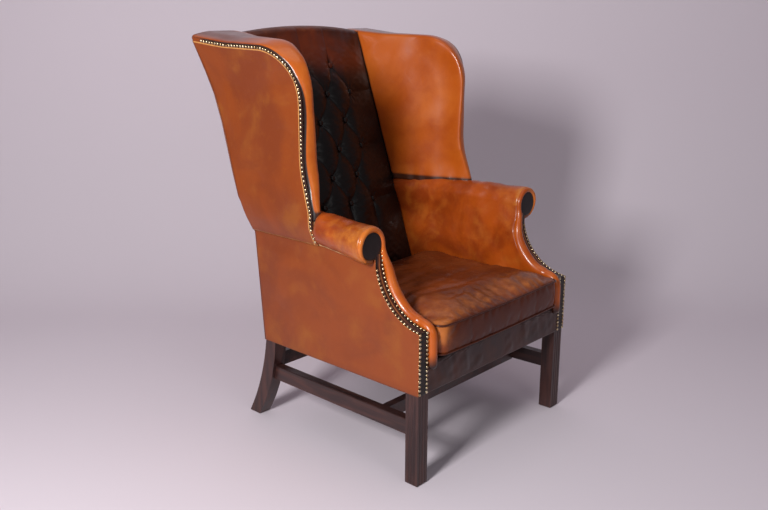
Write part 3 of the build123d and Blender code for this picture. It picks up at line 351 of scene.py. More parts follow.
def tubeGrid(path, radii, across, sides):
    # round-ended tube, its circles carried along without twist; across is a direction square to its start
    path, across = np.asarray(path, float), np.asarray(across, float)
    radii = np.broadcast_to(radii, len(path)).astype(float)
    way = towards(path)
    bend = np.linspace(0, np.pi / 2, endRings + 1)[1:]
    tail = path[0] - way[0] * radii[0] * np.sin(bend)[::-1, None]
    nose = path[-1] + way[-1] * radii[-1] * np.sin(bend)[:, None]
    path = np.vstack([tail, path, nose])
    way = np.vstack([np.tile(way[0], (endRings, 1)), way, np.tile(way[-1], (endRings, 1))])
    radii = np.concatenate([radii[0] * np.cos(bend)[::-1], radii, radii[-1] * np.cos(bend)])
    sideways = np.empty(path.shape)
    for number, direction in enumerate(way):
        across = unitWay(across - direction * (across @ direction))
        sideways[number] = across
    ring = circle(sideways, np.cross(way, sideways), sides)
    return path[:, None] + ring * radii[:, None, None], path[:, None]


def studs(name, places, normals, look, material, side=1, dark=0.0):
    # small turned heads: rings of a profile about each normal, closed at crown and base
    places, normals = mirrored(places, side), mirrored(normals, side)
    sides = look["sides"]
    helper = np.where(np.abs(normals[:, 2:3]) > 0.9, [[1.0, 0, 0]], [[0, 0, 1.0]])
    first = unitWay(np.cross(helper, normals))
    ring = circle(first, np.cross(normals, first), sides)
    radius, height = np.array(look["profile"], float).T
    middles = places[:, None] + normals[:, None] * height[None, :, None]
    rings = middles[:, :, None] + ring[:, None] * radius[None, :, None, None]
    rings = rings.reshape(len(places), -1, 3)
    crown = (places + normals * (height[-1] + 0.06 * radius[0]))[:, None]
    base = (places + normals * height[0])[:, None]
    points = np.concatenate([rings, crown, base], 1)
    count = points.shape[1]
    quads = gridQuads(len(radius), sides, False, True)
    top, low = (len(radius) - 1) * sides + np.arange(sides), np.arange(sides)
    closed = stacked(top, np.roll(top, -1), count - 2), stacked(np.roll(low, -1), low, count - 1)
    triangles = np.vstack(closed)
    starts = np.arange(len(places))[:, None, None] * count
    dark = np.repeat(np.broadcast_to(dark, len(places)), count)
    marks = {"wearAndHighlight": [np.zeros(count * len(places))], "dark": [dark]}
    quads, triangles = (quads[None] + starts).reshape(-1, 4), (triangles[None] + starts).reshape(-1, 3)
    return buildMesh(name, points.reshape(-1, 3), quads, triangles, marks, material)


sideWords = {1: "_right", -1: "_left"}


# Finishes
def tone(red, green, blue):
    # screen colour 0 to 255 as the linear colour that a shader takes
    channel = np.array([red, green, blue]) / 255
    linear = np.where(channel <= 0.04045, channel / 12.92, ((channel + 0.055) / 1.055) ** 2.4)
    return (*linear, 1)


def wire(node, inputs):
    # sets inputs to plain values or to other nodes' outputs
    for key, value in inputs.items():
        if isinstance(value, bpy.types.NodeSocket):
            node.id_data.links.new(value, node.inputs[key])
        else:
            node.inputs[key].default_value = value


def addNode(tree, kind, inputs=None, **settings):
    node = tree.nodes.new(kind)
    for key, value in settings.items():
        setattr(node, key, value)
    wire(node, inputs or {})
    return node


def blank(name):
    material = bpy.data.materials.new(name)
    material.use_nodes = True
    tree = material.node_tree
    tree.nodes.clear()
    shader = addNode(tree, "ShaderNodeBsdfPrincipled")
    addNode(tree, "ShaderNodeOutputMaterial", {"Surface": shader.outputs["BSDF"]})
    return material, tree, shader


def mixed(tree, share, first, second):
    return addNode(tree, "ShaderNodeMix", {0: share, 6: first, 7: second}, data_type="RGBA").outputs[2]


def ranged(tree, value, low, high, start=0.0, end=1.0):
    inputs = {"Value": value, "From Min": low, "From Max": high, "To Min": start, "To Max": end}
    return addNode(tree, "ShaderNodeMapRange", inputs, interpolation_type="SMOOTHSTEP").outputs["Result"]


def math(tree, kind, first, second):
    return addNode(tree, "ShaderNodeMath", {0: first, 1: second}, operation=kind).outputs[0]


def leather(name, look):
    # two colours in clouds, lighter pools and specks, then the places that the mesh marks: rubbed wear with
    # painted highlights, and grime with painted shade
    material, tree, shader = blank(name)
    place = addNode(tree, "ShaderNodeTexCoord").outputs["Object"]
    grain = {"Vector": place, "Detail": 5, "Roughness": 0.55}

    def noise(**inputs):
        return addNode(tree, "ShaderNodeTexNoise", {**grain, **inputs}).outputs["Fac"]

    def mark(key):
        return addNode(tree, "ShaderNodeAttribute", attribute_name=key).outputs["Fac"]

    def broken(value, cloud, share):
        # a mark made uneven by a noise
        return math(tree, "ADD", value, math(tree, "MULTIPLY", math(tree, "SUBTRACT", cloud, 0.5), share))

    def tinted(share, colour, key):
        return mixed(tree, share, colour, tone(*look[key]))

    clouds = noise(Scale=look["patch"], Distortion=0.6)
    pools = noise(Scale=look["patch"] * 2.3, Distortion=0.3)
    specks = noise(Scale=44, Detail=8, Roughness=0.7)
    colour = tinted(ranged(tree, clouds, 0.36, 0.62), tone(*look["deep"]), "base")
    colour = tinted(ranged(tree, pools, 0.48, 0.74, 0, look["fleck"]), colour, "light")
    colour = tinted(ranged(tree, specks, 0.5, 0.75, 0, look["fleck"] * 0.4), colour, "light")
    wearAndHighlight, dark = mark("wearAndHighlight"), mark("dark")
    # lighter where the mesh marks it: rubbed wear and painted highlights
    rubbed = ranged(tree, broken(wearAndHighlight, specks, 0.9), 0.15, 0.9)
    colour = tinted(math(tree, "MULTIPLY", rubbed, ranged(tree, wearAndHighlight, 0.02, 0.25)), colour, "wornAndHighlight")
    # darker where the mesh marks it: grime and painted shade
    shadeGrimeShare = ranged(tree, broken(dark, clouds, 0.35), 0.0, 0.95)
    colour = tinted(math(tree, "MULTIPLY", shadeGrimeShare, ranged(tree, dark, 0.0, 0.12)), colour, "shadeAndGrime")
    pores = addNode(tree, "ShaderNodeTexVoronoi", {"Vector": place, "Scale": 430}).outputs["Distance"]
    fine = addNode(tree, "ShaderNodeBump", {"Height": pores, "Strength": 0.1, "Distance": 0.0005})
    folds = {"Height": noise(Scale=26, Distortion=1.0), "Strength": look["crease"], "Distance": 0.003}
    soft = addNode(tree, "ShaderNodeBump", {**folds, "Normal": fine.outputs["Normal"]})
    rough = ranged(tree, pools, 0.3, 0.7, look["rough"] - 0.05, look["rough"] + 0.08)
    wire(shader, {"Base Color": colour, "Roughness": rough, "Normal": soft.outputs["Normal"]})
    wire(shader, {"Coat Weight": look["coat"], "Coat Roughness": 0.17, "Specular IOR Level": look["shine"]})
    return material


leatherLooks = {
    "back": {
        "base": (92, 34, 12), "deep": (62, 24, 12), "light": (120, 52, 22), "wornAndHighlight": (150, 84, 44),
        "shadeAndGrime": (13, 8, 8), "patch": 5, "fleck": 0.3,
        "rough": 0.42, "coat": 0.1, "shine": 0.22, "crease": 0.3,
    },
    "inside": {
        "base": (184, 86, 18), "deep": (164, 70, 15), "light": (200, 104, 28), "wornAndHighlight": (196, 106, 34),
        "shadeAndGrime": (30, 15, 12), "patch": 4, "fleck": 0.45,
        "rough": 0.36, "coat": 0.4, "shine": 0.26, "crease": 0.16,
    },
    "roll": {
        "base": (170, 74, 17), "deep": (138, 54, 13), "light": (186, 100, 30), "wornAndHighlight": (196, 118, 42),
        "shadeAndGrime": (36, 20, 14), "patch": 7, "fleck": 0.5,
        "rough": 0.36, "coat": 0.4, "shine": 0.26, "crease": 0.18,
    },
    "outer": {
        "base": (136, 62, 19), "deep": (122, 54, 21), "light": (150, 84, 27), "wornAndHighlight": (208, 148, 82),
        "shadeAndGrime": (52, 27, 18), "patch": 4.5, "fleck": 0.55,
        "rough": 0.42, "coat": 0.2, "shine": 0.26, "crease": 0.12,
    },
    "front": {
        "base": (76, 38, 26), "deep": (52, 28, 21), "light": (102, 58, 38), "wornAndHighlight": (170, 102, 54),
        "shadeAndGrime": (17, 11, 10), "patch": 7, "fleck": 0.35,
        "rough": 0.38, "coat": 0.25, "shine": 0.24, "crease": 0.22,
    },
    "seat": {
        "base": (122, 55, 22), "deep": (90, 38, 17), "light": (156, 84, 38), "wornAndHighlight": (186, 108, 52),
        "shadeAndGrime": (64, 25, 12), "patch": 5, "fleck": 0.45,
        "rough": 0.36, "coat": 0.16, "shine": 0.2, "crease": 0.3,
    },
}
leathers = {key: leather("leather_" + key, look) for key, look in leatherLooks.items()}


def plain(name, colour, second, rough, scale, metallic=0.0, streak=None, bump=0.0):
    # one colour with a second clouded into it, stretched by streak where the stuff has a grain
    material, tree, shader = blank(name)
    place = addNode(tree, "ShaderNodeTexCoord").outputs["Object"]
    if streak:
        place = addNode(tree, "ShaderNodeMapping", {"Vector": place, "Scale": streak}).outputs["Vector"]
    clouds = {"Vector": place, "Scale": scale, "Detail": 8, "Roughness": 0.6, "Distortion": 0.3}
    grain = addNode(tree, "ShaderNodeTexNoise", clouds).outputs["Fac"]
    colour = mixed(tree, ranged(tree, grain, 0.35, 0.68), tone(*colour), tone(*second))
    rough = ranged(tree, grain, 0.3, 0.7, rough - 0.06, rough + 0.08)
    wire(shader, {"Base Color": colour, "Metallic": metallic, "Roughness": rough})
    if bump:
        lift = addNode(tree, "ShaderNodeBump", {"Height": grain, "Strength": bump, "Distance": 0.001})
        wire(shader, {"Normal": lift.outputs["Normal"]})
    return material


reds = (42, 24, 23), (72, 42, 36)
woods = {
    "mahogany": plain("mahogany", *reds, 0.34, 60, streak=(1, 1, 0.09), bump=0.1),
    "mahoganyLong": plain("mahogany_rails", *reds, 0.36, 60, streak=(1, 0.09, 1), bump=0.1),
    "beech": plain("beech", (176, 138, 96), (198, 160, 118), 0.6, 50, streak=(1, 1, 0.1)),
}
metals = {
    "brass": plain("antique_brass", (168, 138, 98), (240, 224, 190), 0.24, 120, metallic=1.0),
    "steel": plain("spring_steel", (96, 92, 88), (130, 126, 120), 0.4, 60, metallic=1.0),
}
cloths = {
    "jute": plain("jute", (150, 122, 84), (176, 148, 106), 0.9, 300, bump=0.3),
    "cambric": plain("black_cambric", (26, 25, 26), (36, 35, 36), 0.9, 400, bump=0.2),
    "twill": plain("platform_twill", (60, 48, 42), (72, 58, 50), 0.85, 400, bump=0.2),
}
print("finishes made")


def dress(material, slot, *nodes):
    # a CAD node keeps its mesh and takes a material
    for name in nodes:
        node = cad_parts[name]
        node.data.materials.clear()
        node.data.materials.append(material)


def pair(*names):
    return [name + side for name in names for side in ("_left", "_right")]


dress(woods["mahogany"], "mahogany", *pair("front_leg", "rear_leg"))
dress(woods["mahoganyLong"], "mahogany", *pair("side_stretcher"), "medial_stretcher", "rear_stretcher")
dress(
    woods["beech"],
    "frame_beech",
    *pair("arm_board", "arm_post", "back_post", "side_rail", "wing_post", "wing_rail"),
    "back_stay_rail",
    "corner_blocks",
    "crest_rail",
    "front_rail",
    "rear_rail",
)
dress(cloths["jute"], "jute", "back_canvas", "back_webbing", "seat_canvas", "seat_webbing")
dress(metals["steel"], "spring_steel", "seat_springs")

# Inside back: a crowned, deep-buttoned hide that rolls over the crest rail
backLook = {
    "columns": 231,
    "rows": 270,
    "capRows": 30,
    "base": 345.3,
    "top": 1102.75,
    "halfPitch": 54,
    "rowPitch": 83,
    "rowCount": 6,
    "lowRow": 625.5,
    "tuftDepth": 18,
    "crown": 52,
    "foldShare": 0.5,
    "capRound": 20,
    "edgePacking": 0.92,
    "fallFrom": 957.5,
    "pucker": (1.1, 17, 11, 9),  # round each button: height, distance, width and count
    "darkenedZone": (1085, 110, 0.86),  # painted shade below this height, over this span, of this strength
    "core": (0, 760),
}


def backCrown(x, z):
    # how far the middle stands out from the seams: one less a power across, times the least of one, a
    # straight climb from the seat and a straight fall to the crest
    look = backLook
    across = 1 - np.abs(x / seamHalf(z)) ** 2.5
    rising = 0.55 + 0.45 * (z - look["base"]) / (look["lowRow"] - look["base"])
    falling = 1 - 0.5 * (z - look["fallFrom"]) / (look["top"] - look["fallFrom"])
    return look["crown"] * across * np.minimum(1, np.minimum(rising, falling))


def foldRise(q):
    # height beside a fold: nil in it and 1 half-way to the next
    share = backLook["foldShare"]
    return (1 - share) * q + share * q * (2 - q)


def tuftRise(x, z):
    # 0 in a fold and 1 between folds, from sines along the two diagonals through the buttons: diamonds between
    # the buttons, level pleats out to the seams, upright ones above and below
    a = np.abs(x) / backLook["halfPitch"]
    b = (z - backLook["lowRow"]) / backLook["rowPitch"]
    top = backLook["rowCount"] - 1
    s = np.abs(np.sin(np.pi * (a + b) / 2))
    t = np.abs(np.sin(np.pi * (a - b) / 2))
    share = backLook["foldShare"]
    inner = (1 - share) * np.sqrt(s * t) + share * (1 - (1 - s) * (1 - t))
    out = unit((a - 2) / 2.6)
    level = np.where((b > -1) & (b < top), np.abs(np.sin(np.pi * b / 2)), 1.0)
    outer = 1 - (1 - 0.5 * out) * (1 - foldRise(level ** (1 - 0.45 * out)))
    up = unit((b - top) / 0.75)
    above = 1 - (1 - 0.75 * up) * (1 - foldRise(np.abs(np.cos(np.pi * a / 2)) ** (1 - 0.3 * up)))
    down = unit(-b / 1.6)
    below = 1 - (1 - 0.8 * down) * (1 - foldRise(np.abs(np.sin(np.pi * a / 2))))
    belowSide = 1 - (1 - 0.8 * down) * (1 - foldRise(np.sin(np.pi * unit(a - 2) / 2)))
    rise = np.where(a > 2, np.where(b < 0, np.minimum(outer, belowSide), outer), inner)
    rise = np.where((a <= 2) & (b > top), above, rise)
    return np.where((a <= 2) & (b < 0), below, rise)


def buttonSpots():
    # rows of three and two buttons in turn, evenly spaced
    spots = []
    for row in range(backLook["rowCount"]):
        columns = (-2, 0, 2) if row % 2 == 0 else (-1, 1)
        z = backLook["lowRow"] + row * backLook["rowPitch"]
        spots += [(c * backLook["halfPitch"], z) for c in columns]
    return np.array(spots, float)


def makeInsideBack():
    # over x and z: seam depth less crown, plus the tufting and small waves; above that it runs straight up
    # the rake and then round the crest rail in half a turn
    look = backLook
    spread = np.pi / 2 * look["edgePacking"]
    share = np.sin(np.linspace(-1, 1, look["columns"]) * spread) / np.sin(spread)
    z = np.linspace(look["base"], look["top"], look["rows"])[:, None]
    x = share[None] * seamHalf(z)
    z = np.broadcast_to(z, x.shape)
    edge = 1 - np.abs(share[None]) ** 10
    rise = tuftRise(x, z)
    depth = seamD(z) - backCrown(x, z) + look["tuftDepth"] * (1 - rise) * edge
    size, ring, wide, count = look["pucker"]
    for number, (bx, bz) in enumerate(buttonSpots()):
        angle = np.arctan2(z - bz, x - bx)
        depth += size * hump(np.hypot(x - bx, z - bz) - ring, wide) * np.cos(count * angle + number)
    flat = stacked(x, 0 * x, z)
    depth += (0.8 * wave(flat, 85, 3) + 0.35 * wave(flat * [1, 1, 2.2], 30, 4)) * edge
    body = stacked(x, depth, z)
    xTop, front = x[-1], depth[-1]
    shoulder = crestZ(xTop) - look["capRound"]
    brow = front + chair["upperRake"] * (shoulder - look["top"])
    rear = rearD(shoulder)
    lift = np.linspace(0, 1, 9)[1:, None]
    straight = stacked(xTop, front + (brow - front) * lift, look["top"] + (shoulder - look["top"]) * lift)
    turn = np.linspace(0, np.pi, look["capRows"])[1:, None]
    middle, reach = (brow + rear) / 2, (rear - brow) / 2
    # fuller at the rear, so that it clears the crest rail's corner
    swing = np.cos(turn)
    swing = np.sign(swing) * np.abs(swing) ** np.where(swing < 0, 0.5, 1.0)
    height = look["capRound"] * np.sin(turn) ** 0.85
    lean = (chair["upperRake"] * height + 1.5) * (1 - swing) / 2
    over = stacked(xTop, middle - reach * swing + lean, shoulder + height)
    points = np.concatenate([body, straight, over])
    full = points[..., 2]
    side = np.abs(points[..., 0]) / seamHalf(np.minimum(full, look["top"]))
    deep = np.zeros(points.shape[:2])
    # painted shade in the folds of the tufting
    deep[: look["rows"]] = unit(1 - 1.6 * rise) * 0.7
    # painted shade over the lower back, deepening downwards from the crest
    high, span, most = look["darkenedZone"]
    darkenedZone = most * eased(unit((high - full) / span))
    coreX, coreZ = look["core"]
    grid = {
        "points": points,
        "inside": points + [0, 40, -10],
        "core": [coreX, rearD(coreZ) - 30, coreZ],
        "dark": unit(deep + darkenedZone + unit((side - 0.955) / 0.045) ** 2),
        "wearAndHighlight": unit((full - 1130) / 30) * 0.35,
    }
    return surface("inside_back_hide", [grid], leathers["back"])


fit(makeInsideBack(), ("inside_back", "back_stuffing", "crest_stuffing"))

buttonLook = {"sides": 20, "profile": [(8.2, 2.5), (9, 4.6), (8.6, 6.6), (7.2, 8.4), (4.6, 9.7), (2.0, 10.2)]}


def makeButtons():
    # turned buttons at the bottom of the tufts, square to the raked back
    x, z = buttonSpots().T
    depth = seamD(z) - backCrown(x, z) + backLook["tuftDepth"]
    outwards = np.tile(unitWay(np.array([0, -1, chair["upperRake"]])), (len(x), 1))
    # painted shade, deeper lower down, as on the back's hide
    dark = 0.8 * np.clip((1070 - z) / 80, 0.1, 1)
    return studs("back_button_heads", stacked(x, depth, z), outwards, buttonLook, leathers["back"], dark=dark)


fit(makeButtons(), ("back_buttons",))
print("inside back made")

# Wings
wingLook = {
    "front": [(345, 592), (351.95, 683), (389.0, 800.1), (386.3, 1130.8), (672.3, 1138.0), (860.4, 1157.0)],
    "radii": [60, 259, 150, 400],
    "innerX": 325,
    "innerD": 390,
    "ridgeX": 338,
    "bandMost": 12.5,
    "bandSink": 1.2,
    "tuckRun": 18,
    "tuckSink": 3.2,
    "low": 592,
    "seamLow": 683,
    "seamHigh": 1163,
    "bandBack": 0.35,
    "bandFall": 0.30,
    "foot": 668,
    "edgeInset": 15,
    "nailInset": 21,
    "nailPitch": 11.5,
    "nailEnd": 770,
    "foldRise": 1.0,
    "foldInset": 12.5,
    "bulge": 7,
    "roll": 17,
    "rollReach": 44,
    "rollFull": (690, 90, 560, 130),  # fills out above and in front of these, over these spans
    "seamTop": 1145,
    "pleat": (1.1, 26),  # height at the arm, and how fast it dies out
    "rearLap": 2,
    "rounding": 9,
    "samples": 112,
    "core": (318, 640, 930),
}
wingLine = filletPath(wingLook["front"], wingLook["radii"], 3.5)
wingWay = towards(wingLine)
wingIn = inwards(wingWay)

seamEnds = wingLook["seamLow"], wingLook["seamHigh"]
lowSeam, highSeam = (np.array([seamHalf(z), seamD(z), z]) for z in seamEnds)
wingCorner = np.array([wingLook["innerX"], wingLook["innerD"], wingLook["seamLow"]])
wingNormal = np.cross(wingCorner - lowSeam, highSeam - lowSeam)
wingNormal *= -np.sign(wingNormal[0]) / np.linalg.norm(wingNormal)  # towards the sitter


def innerX(d, z):
    # plane through the seam and the wing's lower front corner
    drop = wingNormal[1] * (d - wingCorner[1]) + wingNormal[2] * (z - wingCorner[2])
    return wingCorner[0] - drop / wingNormal[0]


def makeWingCover(side):
    # row by row along the wing's edge: from the tuck under the outside hide, round the ridge, over the inner
    # plane and down to the seam, a polyline rounded by averaging and swelled along the plane's normal
    look = wingLook
    keep = (wingLine[:, 1] >= look["foot"]) & (wingLine[:, 0] <= rearD(wingLine[:, 1]) + 1)
    edge, into = wingLine[keep], wingIn[keep]
    slide = np.array([look["bandBack"], -look["bandFall"]])
    outerX = 350.0 + 0 * edge[:, 0]
    for turn in range(4):
        shift = (outerX - look["ridgeX"])[:, None] * slide
        inset = (shift * into).sum(1, keepdims=True)
        shift = shift * np.minimum(1, look["bandMost"] / np.maximum(inset, 1e-3))
        outer = edge + shift
        outerX = wingX(outer[:, 0], outer[:, 1]) - look["bandSink"]
    tuck = outer + into * look["tuckRun"]
    tuckX = wingX(tuck[:, 0], tuck[:, 1]) - look["tuckSink"]
    ridgeX = look["ridgeX"] + 0.0 * edge[:, 0]
    for turn in range(25):
        spot = edge + np.maximum(ridgeX - look["ridgeX"], 0)[:, None] * slide
        ridgeX = np.maximum(innerX(spot[:, 0], spot[:, 1]), seamHalf(spot[:, 1]) + 1)
    beyond = edge[:, 0] > seamD(edge[:, 1])
    last = np.argmax(beyond)
    climb = unit(np.arange(len(edge)) / last) ** 1.05
    seamZ = look["foot"] + (look["seamTop"] - look["foot"]) * climb
    seam = stacked(seamHalf(seamZ), seamD(seamZ), seamZ)
    close = stacked(seamHalf(edge[:, 1]), edge[:, 0], edge[:, 1] - 2)
    seam = np.where(beyond[:, None], close, seam)
    flat = np.maximum(ridgeX, look["ridgeX"])
    rows = [np.column_stack(pair) for pair in ((tuckX, tuck), (outerX, outer), (flat, spot), (ridgeX, spot))]
    corners = np.stack([*rows, seam], 1)
    lines, wears, darks = [], [], []
    share = np.linspace(0, 1, look["samples"])
    fromZ, overZ, fromD, overD = look["rollFull"]
    for row, line in enumerate(corners):
        run = lengths(line, 1e-4)
        at = share * run[-1]
        width = min(look["rounding"] / (run[-1] / look["samples"]), look["samples"] / 9)
        path = softened(follow(line, run, at), width)
        nailed, ridge, wide = run[1], run[3], run[4] - run[3]
        face = unit((at - ridge) / max(wide, 1e-3))
        swell = look["bulge"] * np.sin(np.pi * face) ** 0.8 * min(1, wide / 120)
        full = unit((edge[row, 1] - fromZ) / overZ) * np.clip((fromD - edge[row, 0]) / overD, 0.15, 1)
        rising = (at - nailed) / (ridge - nailed + 4)
        pad = np.where(at < ridge, rising, 1 - ((at - ridge) / look["rollReach"]) ** 2 / 4)
        pad = unit(pad) ** 2 * np.exp(-np.maximum(at - ridge, 0) / 70)
        lines.append(path + wingNormal * (swell + look["roll"] * full * pad)[:, None])
        wears.append(unit(1 - np.abs(at - (nailed + ridge) / 2) / ((ridge - nailed) / 2 + 16)))
        # darker at the seam end, and painted shade round the nail row out to the tuck
        darks.append(unit(1 - (run[-1] - at) / 9) ** 1.5 * (wide > 6) + unit((nailed + 2.5 - at) / 2.5))
    points, wearAndHighlight, dark = np.array(lines), np.array(wears), np.array(darks)
    # painted shade where the wing's foot tucks into the arm
    low = unit(1 - (points[..., 2] - look["seamLow"]) / 13)
    size, fades = look["pleat"]
    pleat = size * np.cos(points[..., 1] / 7.5 + 0.6 * np.sin(points[..., 1] / 21)) * (wearAndHighlight < 0.05)
    pleat *= np.exp(-np.maximum(points[..., 2] - look["seamLow"], 0) / fades)
    points = points + wingNormal * (pleat + 0.9 * wave(points, 90, 11))[..., None]
    points[..., 1] = np.minimum(points[..., 1], rearD(points[..., 2]) + look["rearLap"])
    # the band's top rear is left less rubbed and darker
    darkenedZone = unit(wearAndHighlight * 2) * unit((points[..., 1] - 530) / 120)
    darkenedZone *= unit((points[..., 2] - 1085) / 35)
    grid = {
        "points": points,
        "inside": stacked(points[..., 0] + 25, 620, 900),
        "core": look["core"],
        "wearAndHighlight": wearAndHighlight * (1 - darkenedZone) * 0.5 * np.clip((1140 - points[..., 2]) / 40, 0.1, 1),
        "dark": unit(dark + 0.8 * low**2 + 0.6 * darkenedZone),
    }
    return surface("wing_cover" + sideWords[side], [grid], leathers["inside"], side)


def makeWingPanel(side):
    # patch between the wing's inset outline and the rear edge, laid on the wing's outer face, with low waves
    # that die out at its rim and a small fold along its edge
    look = wingLook
    inset = wingLine + wingIn * look["edgeInset"]
    keep = (inset[:, 1] > look["low"]) & (inset[:, 0] < rearD(inset[:, 1]))
    inset, way = inset[keep], wingWay[keep]
    corner = np.argmin(np.abs(way[:, 0] - way[:, 1]) + (inset[:, 1] < 1000) * 9)
    u, v = denser(96, 0.05, 14), 1 - denser(120, 0.05, 14)[::-1]
    front = np.vstack([[inset[0, 0], look["low"]], inset[: corner + 1]])
    left, top = spaced(front, v), spaced(inset[corner:], u)
    rearZ = look["low"] + (top[-1, 1] - look["low"]) * v
    right = np.column_stack([rearD(rearZ), rearZ])
    right[-1] = top[-1]
    bottom = stacked(left[0, 0] + (right[0, 0] - left[0, 0]) * u, look["low"])
    flat = coons(left, right, bottom, top, u, v)
    d, z = flat[..., 0], flat[..., 1]
    points = stacked(wingX(d, z), d, z)
    fromEdge = awayFrom(flat, inset)
    fromLow = z - look["low"]
    fromFold = fromEdge - look["foldInset"]
    swell = 1.3 * wave(points, 190, 21) + 0.3 * wave(points, 70, 22) + 1.2
    hold = unit(np.minimum(np.minimum(fromEdge, fromLow), rearD(z) - d) / 45)
    points[..., 0] += np.maximum(swell, 0) * hold + look["foldRise"] * hump(fromFold, 2.2)
    # the band beside the nail row, which gets painted shade
    row = (z > 640) * unit((770 - d) / 30)
    grid = {
        "points": points,
        "inside": points - [30, 0, 0],
        # lighter: a worn line along the fold, and a painted highlight along the lower edge; darker: painted
        # shade between the fold and the nail row, and a painted shadow line just above the lower edge
        "wearAndHighlight": hump(fromFold, 1.7) + 0.7 * hump(fromLow, 2.5),
        "dark": row * unit((-1 - fromFold) / 1.5) + 0.25 * hump(fromLow - 7, 4),
    }
    return surface("wing_panel" + sideWords[side], [grid], leathers["outer"], side)


nailLook = {"sides": 10, "profile": [(4.4, 0.0), (4.2, 1.2), (3.2, 2.5), (1.5, 3.2)]}


def makeWingNails(side):
    # evenly spaced along the outline, square to the wing's outer face
    look = wingLook
    line = filletPath(look["front"], look["radii"], look["nailPitch"])
    spot = (line + inwards(towards(line)) * look["nailInset"])[1:-1]
    spot = spot[spot[:, 0] < look["nailEnd"]]
    d, z = spot.T
    x = wingX(d, z)
    leanD = (wingX(d + 4, z) - wingX(d - 4, z)) / 8
    leanZ = (wingX(d, z + 4) - wingX(d, z - 4)) / 8
    out = unitWay(stacked(1.0, -leanD, -leanZ))
    places = stacked(x, d, z) + out * 0.6
    return studs("wing_nail_heads" + sideWords[side], places, out, nailLook, metals["brass"], side)


for side, word in sideWords.items():
    fit(makeWingCover(side), ("inside_wing" + word, "wing_stuffing" + word))
    fit(makeWingPanel(side), ("outside_wing" + word,), thick=chair["hide"])
    fit(makeWingNails(side), ("wing_nails" + word,))
print("wings made")

# Arms
armLook = {
    "arc": [(0, 424), (91.2, 463), (152, 572)],
    "curveD": 152,
    "base": 334,
    "panelZ": 480,
    "panel": ([0, 345, 700], [297, 280, 261]),
    "ease": 7,
    "rollRun": [152, 345, 620],
    "rollInner": [307, 287, 253],
    "rollRadius": [51, 44, 40],
    "rollZ": [630.75, 639, 642],
    "outerRun": [152, 338, 352, 366, 640],
    "outerRadius": [51, 44.5, 40, 24, 12],
    "rearD": 655,
    "rearGap": 5,
    "rearTurn": (640, 42),
    "leanFrom": 560,
    "panelRows": 120,
    "rollRows": 90,
    "columns": 150,
    "edgeX": 299,
    "edgeRadius": 14,
    "edgeSwell": 4,
    "edgeThins": 6.5,
    "edgeFlow": 95,
    "edgePath": [(-3, 333.2), (-3, 430), (78, 446), (136, 510), (149, 600)],
    "edgeBends": [24, 100, 100],
    "rimX": 358,
    "rimZ": 630.75,
    "rimD": 153,
    "rimRadius": 43.5,
    "rimTurn": (196, -60),
    "rimThick": 7.5,
    "rimIn": [15.0, 10.5, 6.0, 2.6, 0.7],
    "rimForward": [7.0, 7.0, 7.0, 5.6, 2.6],
    "core": (335.0, 300, 605),
    "panelTop": 591.7,
    "rollShadeTop": 591,
    "edgeClimb": (550, 60, 17),  # from this height, over this span, this far
    "edgeStep": 4.0,
}


def armFrontCurve(out, base, top):
    # side view of the arm's front edge: upright, an arc through three points, upright again
    first, middle, last = (np.array(p, float) for p in armLook["arc"])
    arc = arcThrough(first + [-out, out], middle + [-out, out], last + [-out, 0], 60)
    return np.vstack([[arc[0, 0], base], arc, [arc[-1, 0], top]])


def armFrontD(z):
    # depth of the arm's front edge at a height
    path = armFrontCurve(0, 300, 720)
    return np.interp(z, path[:, 1], path[:, 0])


def edgeSpread(z):
    # how far the edge roll swings outwards on its way up to the scroll
    start, span, most = armLook["edgeClimb"]
    return most * eased(unit((z - start) / span))


def edgeBulge(z):
    # the roll is thicker round the arm's bend: a bell curve over the height
    return armLook["edgeSwell"] * hump(z - 490, 70)


